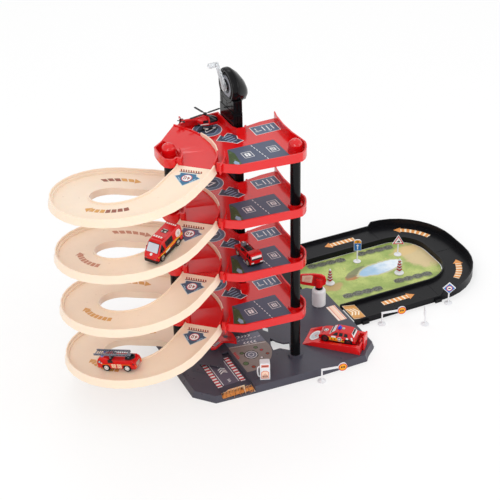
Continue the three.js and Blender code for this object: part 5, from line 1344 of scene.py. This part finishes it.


# Race car: a rounded red car on the launcher with a long roof, an upright blue light, black
# glass between thin posts, screens white with painted reflection, yellow flames along the sills
# and plain badges.
racer = Car(29.4, 12.6, 24, 0.3, 16, 34, 0.18)
racer.body(5, 7.4, 1.2, (21, -21), (-34, 5.6), (-34, 13), (-33, 15.2), (-29, 17.6), (-26, 22.2),
           (-23.4, 23.7), (-6, 24.1), (3.4, 23), (8.4, 20.4), (13.6, 15.8), (20, 14.9), (28, 13.2),
           (32.4, 10.8), (34, 8), (33, 5))
racer.across(trim_black, 0.2, 0.3, (-34.1, 3.6), (-34.1, 6), (-30, 6), (-30, 5), (28, 5),
             (33.2, 5.8), (32.4, 3.6))
racer.wells((21, -21), 7.2, 4, 13.4, 8.2, 14.9, 6, hub_maroon)
for finish, more, radius, *outline in (
        (glass_black, 0.5, 0.3, (-19.4, 16.2), (-18.6, 21.6), (-13.2, 21.8), (-12, 16)),
        (glass_black, 0.5, 0.3, (-10, 16), (-10.4, 21.9), (-4, 21.9), (-3.2, 16)),
        (glass_black, 0.5, 0.3, (-1, 16), (-1.6, 21.8), (3, 21), (8.6, 16)),
        # front and rear screens: the white is a painted reflection, the small dark pieces the glass
        # below it
        (hub_white_and_screen_sheen, -4.5, 0.2, (13, 15.6), (4.6, 22.4), (5.2, 23.2), (14.4, 15.9)),
        (glass_black, -5.6, 0.2, (11.6, 17.4), (10, 18.7), (10.4, 19.9), (12.6, 18)),
        (hub_white_and_screen_sheen, -4, 0.2, (-29.4, 16.8), (-25.2, 22.6), (-26.1, 23.4), (-30.4, 17.4)),
        (glass_black, -6.5, 0.2, (-27.6, 19.8), (-25.5, 22.6), (-26.3, 23.3), (-28.6, 20)),
        (hub_white_and_screen_sheen, 0.4, 0, (-29.6, 12), (-27.4, 17.4), (-24.8, 16.6), (-27.4, 11.8)),
        (yellow_paint, 0.4, 0, (13.4, 7.2), (12.6, 10), (16.2, 12.6), (9.2, 11.2), (10, 13.2),
         (3.6, 11.4), (5.2, 13), (-2.4, 11), (-13.4, 11.6), (-8, 9.2), (-13.4, 8), (-13.4, 5.6),
         (13.4, 5.6)),
        (amber_lamp, 0.6, 0, (12.6, 6), (10.6, 8.6), (4, 8), (-6, 7.6), (-11, 6)),
        (hub_white_and_screen_sheen, 0.7, 0, (1.4, 12.6), (2, 15), (10.4, 14.4), (9.8, 12)),
        *((trim_black, 0.7, 0, (x, 7.4), (x + 1.2, 10.4), (x + 2.4, 10.2), (x + 1.2, 7.2))
          for x in (7.6, 2.2, -12.4))):
    racer.across(finish, more, radius, *outline)
racer.panels((hub_white_and_screen_sheen, 0.5, -20.6, -16.6, 12.6, 15))
racer.badge(-5.2, 10.4, 20, (hub_white_and_screen_sheen, 4, 0.8), (black_ink, 3.2, 1), (hub_white_and_screen_sheen, 2, 1.2))
for finish, low, high, radius in ((hub_white_and_screen_sheen, 0, 0.4, 4.2), (black_ink, 0.3, 0.55, 3.2),
                                  (hub_white_and_screen_sheen, 0.5, 0.7, 2)):
    racer.turned(finish, [(0, low), (radius, low), (radius, high), (0, high)],
                 moved(23, 0, 14.35, 9, "Y"), 28)
racer.boxes((silver_and_screen_sheen, 29.6, 32.8, 8.6, 11, 2.2, 0.7, 8.4),
            (amber_lamp, -34.3, -33.6, 9.6, 12, 2.4, 0.3, 9.4),
            (car_red, 8, 10.2, 15, 17, 1, 0.6, 14.4),
            (trim_black, 33, 34.1, 5.4, 7.4, 5, 0.3),
            (blue_lamp, -4.6, 1.6, 23.6, 25.2, 4.2, 0.5))
racer.box(blue_lamp, (-2.6, -3.2, 24.8), (0, 3.4, 28), 0.8)
racer.turned(hub_grey, [(0, 23.6), (2.8, 23.6), (2.8, 25), (1.8, 25.6), (0, 25.6)],
             moved(-8.2, 0, 0), 24)
board_height = 12
trough_sink = 1.4
trough_bed = 8
road_bed = board_height - trough_sink + 2 * seat_gap + trough_bed
racer.made("race_car_bodywork", "race_car", "vehicle_red",
           standing(80, 4, road_bed, 135) @ moved(-7, 0, 0))


# Helicopter: a round red hull with dark glass, a thin boom with fin and tail rotor, black skids
# with white steps, and a black four-bladed rotor that spins on its own joint.
heli_stand = standing(-102, 139, deck_level[1] + seat_gap, -8)
mast_x = 7.92
# along the hull: place, middle height, half height, half width
hull = [(-8.7, 17.4, 2.4, 2.2), (-6.4, 16.6, 4.6, 4.6), (-1.8, 14.6, 7.8, 7.4),
        (4.6, 13.2, 9.4, 8.8), (12.8, 12.6, 9.2, 9), (19.2, 12, 8.2, 8.4), (24.8, 11, 6.6, 7),
        (28.8, 9.8, 4.6, 5), (31.2, 9, 2.2, 2.4)]
glass = [(13.4, 12.6, 9.1, 8.9), (19.2, 12, 8.2, 8.4), (24.8, 11, 6.6, 7), (28, 10.1, 5, 5.4)]


def oval_rings(rows, grow, floor_z=0):
    """Ovals along the hull, a little larger all round and cut off flat below a height."""
    return [[(x, (wide + grow) * u, max(floor_z, z + (tall + grow) * v))
             for u, v in ring(0, 0, 1, 28)] for x, z, tall, wide in rows]


heli = Model()
heli.join(skinned(oval_rings(hull, 0)), car_red)
heli.join(skinned(oval_rings(glass, 0.2, 11.6)), glass_black)
heli.boxes((car_red, 18.6, 19.6, 11, 20, 0.5, 0.2, 4.4),
           (glass_black, 2, 10.6, 12.4, 17.4, 0.4, 0.35, 8.7),
           (trim_black, -31.2, -27.6, 18.4, 19.4, 7.2, 0.4),
           *((tone, x - 2, x + 3, 1.5, 2.9, 1.2, 0.3, 9.6)
             for x, tone in zip((0, 6.4, 12.8, 19.2), (trim_black, white_paint_and_screen_sheen) * 2)))
for y0, y1 in ((-8.7, -8.4), (7.1, 8.8)):
    heli.box(white_paint_and_screen_sheen, (-3, y0, 9.6), (12, y1, 11.2), 0.2)
heli.rod(car_red, (-5.5, 0, 17.6), (-34, 0, 19.2), 3.2, 20, 1.4)
heli.slab(car_red, [(-30.4, 18.4), (-34, 27.4), (-36.9, 27.4), (-35.3, 18.4), (-36.4, 15.6),
                    (-34.4, 15.6)], -0.8, 0.8, 0.4, moved(0, 0, 0, 90, "X"))
heli.slab(white_paint_and_screen_sheen, [(-33.4, 23), (-34.4, 25.8), (-36.3, 25.8), (-35.6, 23)], -1, 1, 0,
          moved(0, 0, 0, 90, "X"))
for turn in (20, 110):
    heli.box(trim_black, (-5, -0.3, -0.8), (5, 0.3, 0.8), 0.2, moved(-34.8, -1.9, 20, turn, "Y"))
heli.rod(trim_black, (-34.8, 0, 20), (-34.8, -2.4, 20), 0.9)
for side in (-1, 1):
    runner = side * 9.6
    heli.rod(trim_black, (-9, runner, 0.9), (23, runner, 0.9), 0.9, 14)
    heli.rod(trim_black, (22.6, runner, 0.9), (25.4, runner, 2.6), 0.9, 14)
    for x in (1, 17.4):
        heli.rod(trim_black, (x, runner, 1), (x, side * 5.4, 6), 0.8)
heli.turned(car_red, [(0, 20), (5.6, 20), (5.2, 22.2), (3.2, 23.2), (0, 23.2)],
            moved(mast_x, 0, 0), 28)
heli.turned(trim_black, [(0, 22.8), (2.6, 22.8), (2.2, 23.9), (1, 24.3), (0.95, 27.2), (0, 27.4)],
            moved(mast_x, 0, 0), 20)
heli.made("helicopter_hull", "helicopter_body", "vehicle_red", heli_stand)
rotor = Model()
for turn in (20, 110, 200, 290):
    rotor.slab(trim_black, [(1, -0.9), (6, -0.9), (7.4, -1.9), (29, -1.9), (29.8, -1.2),
                            (29.8, 1.2), (29, 1.9), (7.4, 1.9), (6, 0.9), (1, 0.9)],
               0.1, 1.1, 0.25, moved(0, 0, 0, turn))
    rotor.rod(engine_grey, (2.2, 0, 1.1), (6.2, 0, 1.1), 0.5, 10)
rotor.turned(trim_black, [(1.3, 0), (2.8, 0), (3, 0.3), (3, 1.2), (2.5, 1.8), (1.3, 1.8), (1.3, 0)],
             None, 28)
rotor.made("helicopter_rotor_blades", "helicopter_rotor", "vehicle_black",
           heli_stand @ moved(mast_x, 0, 25), "rotor")
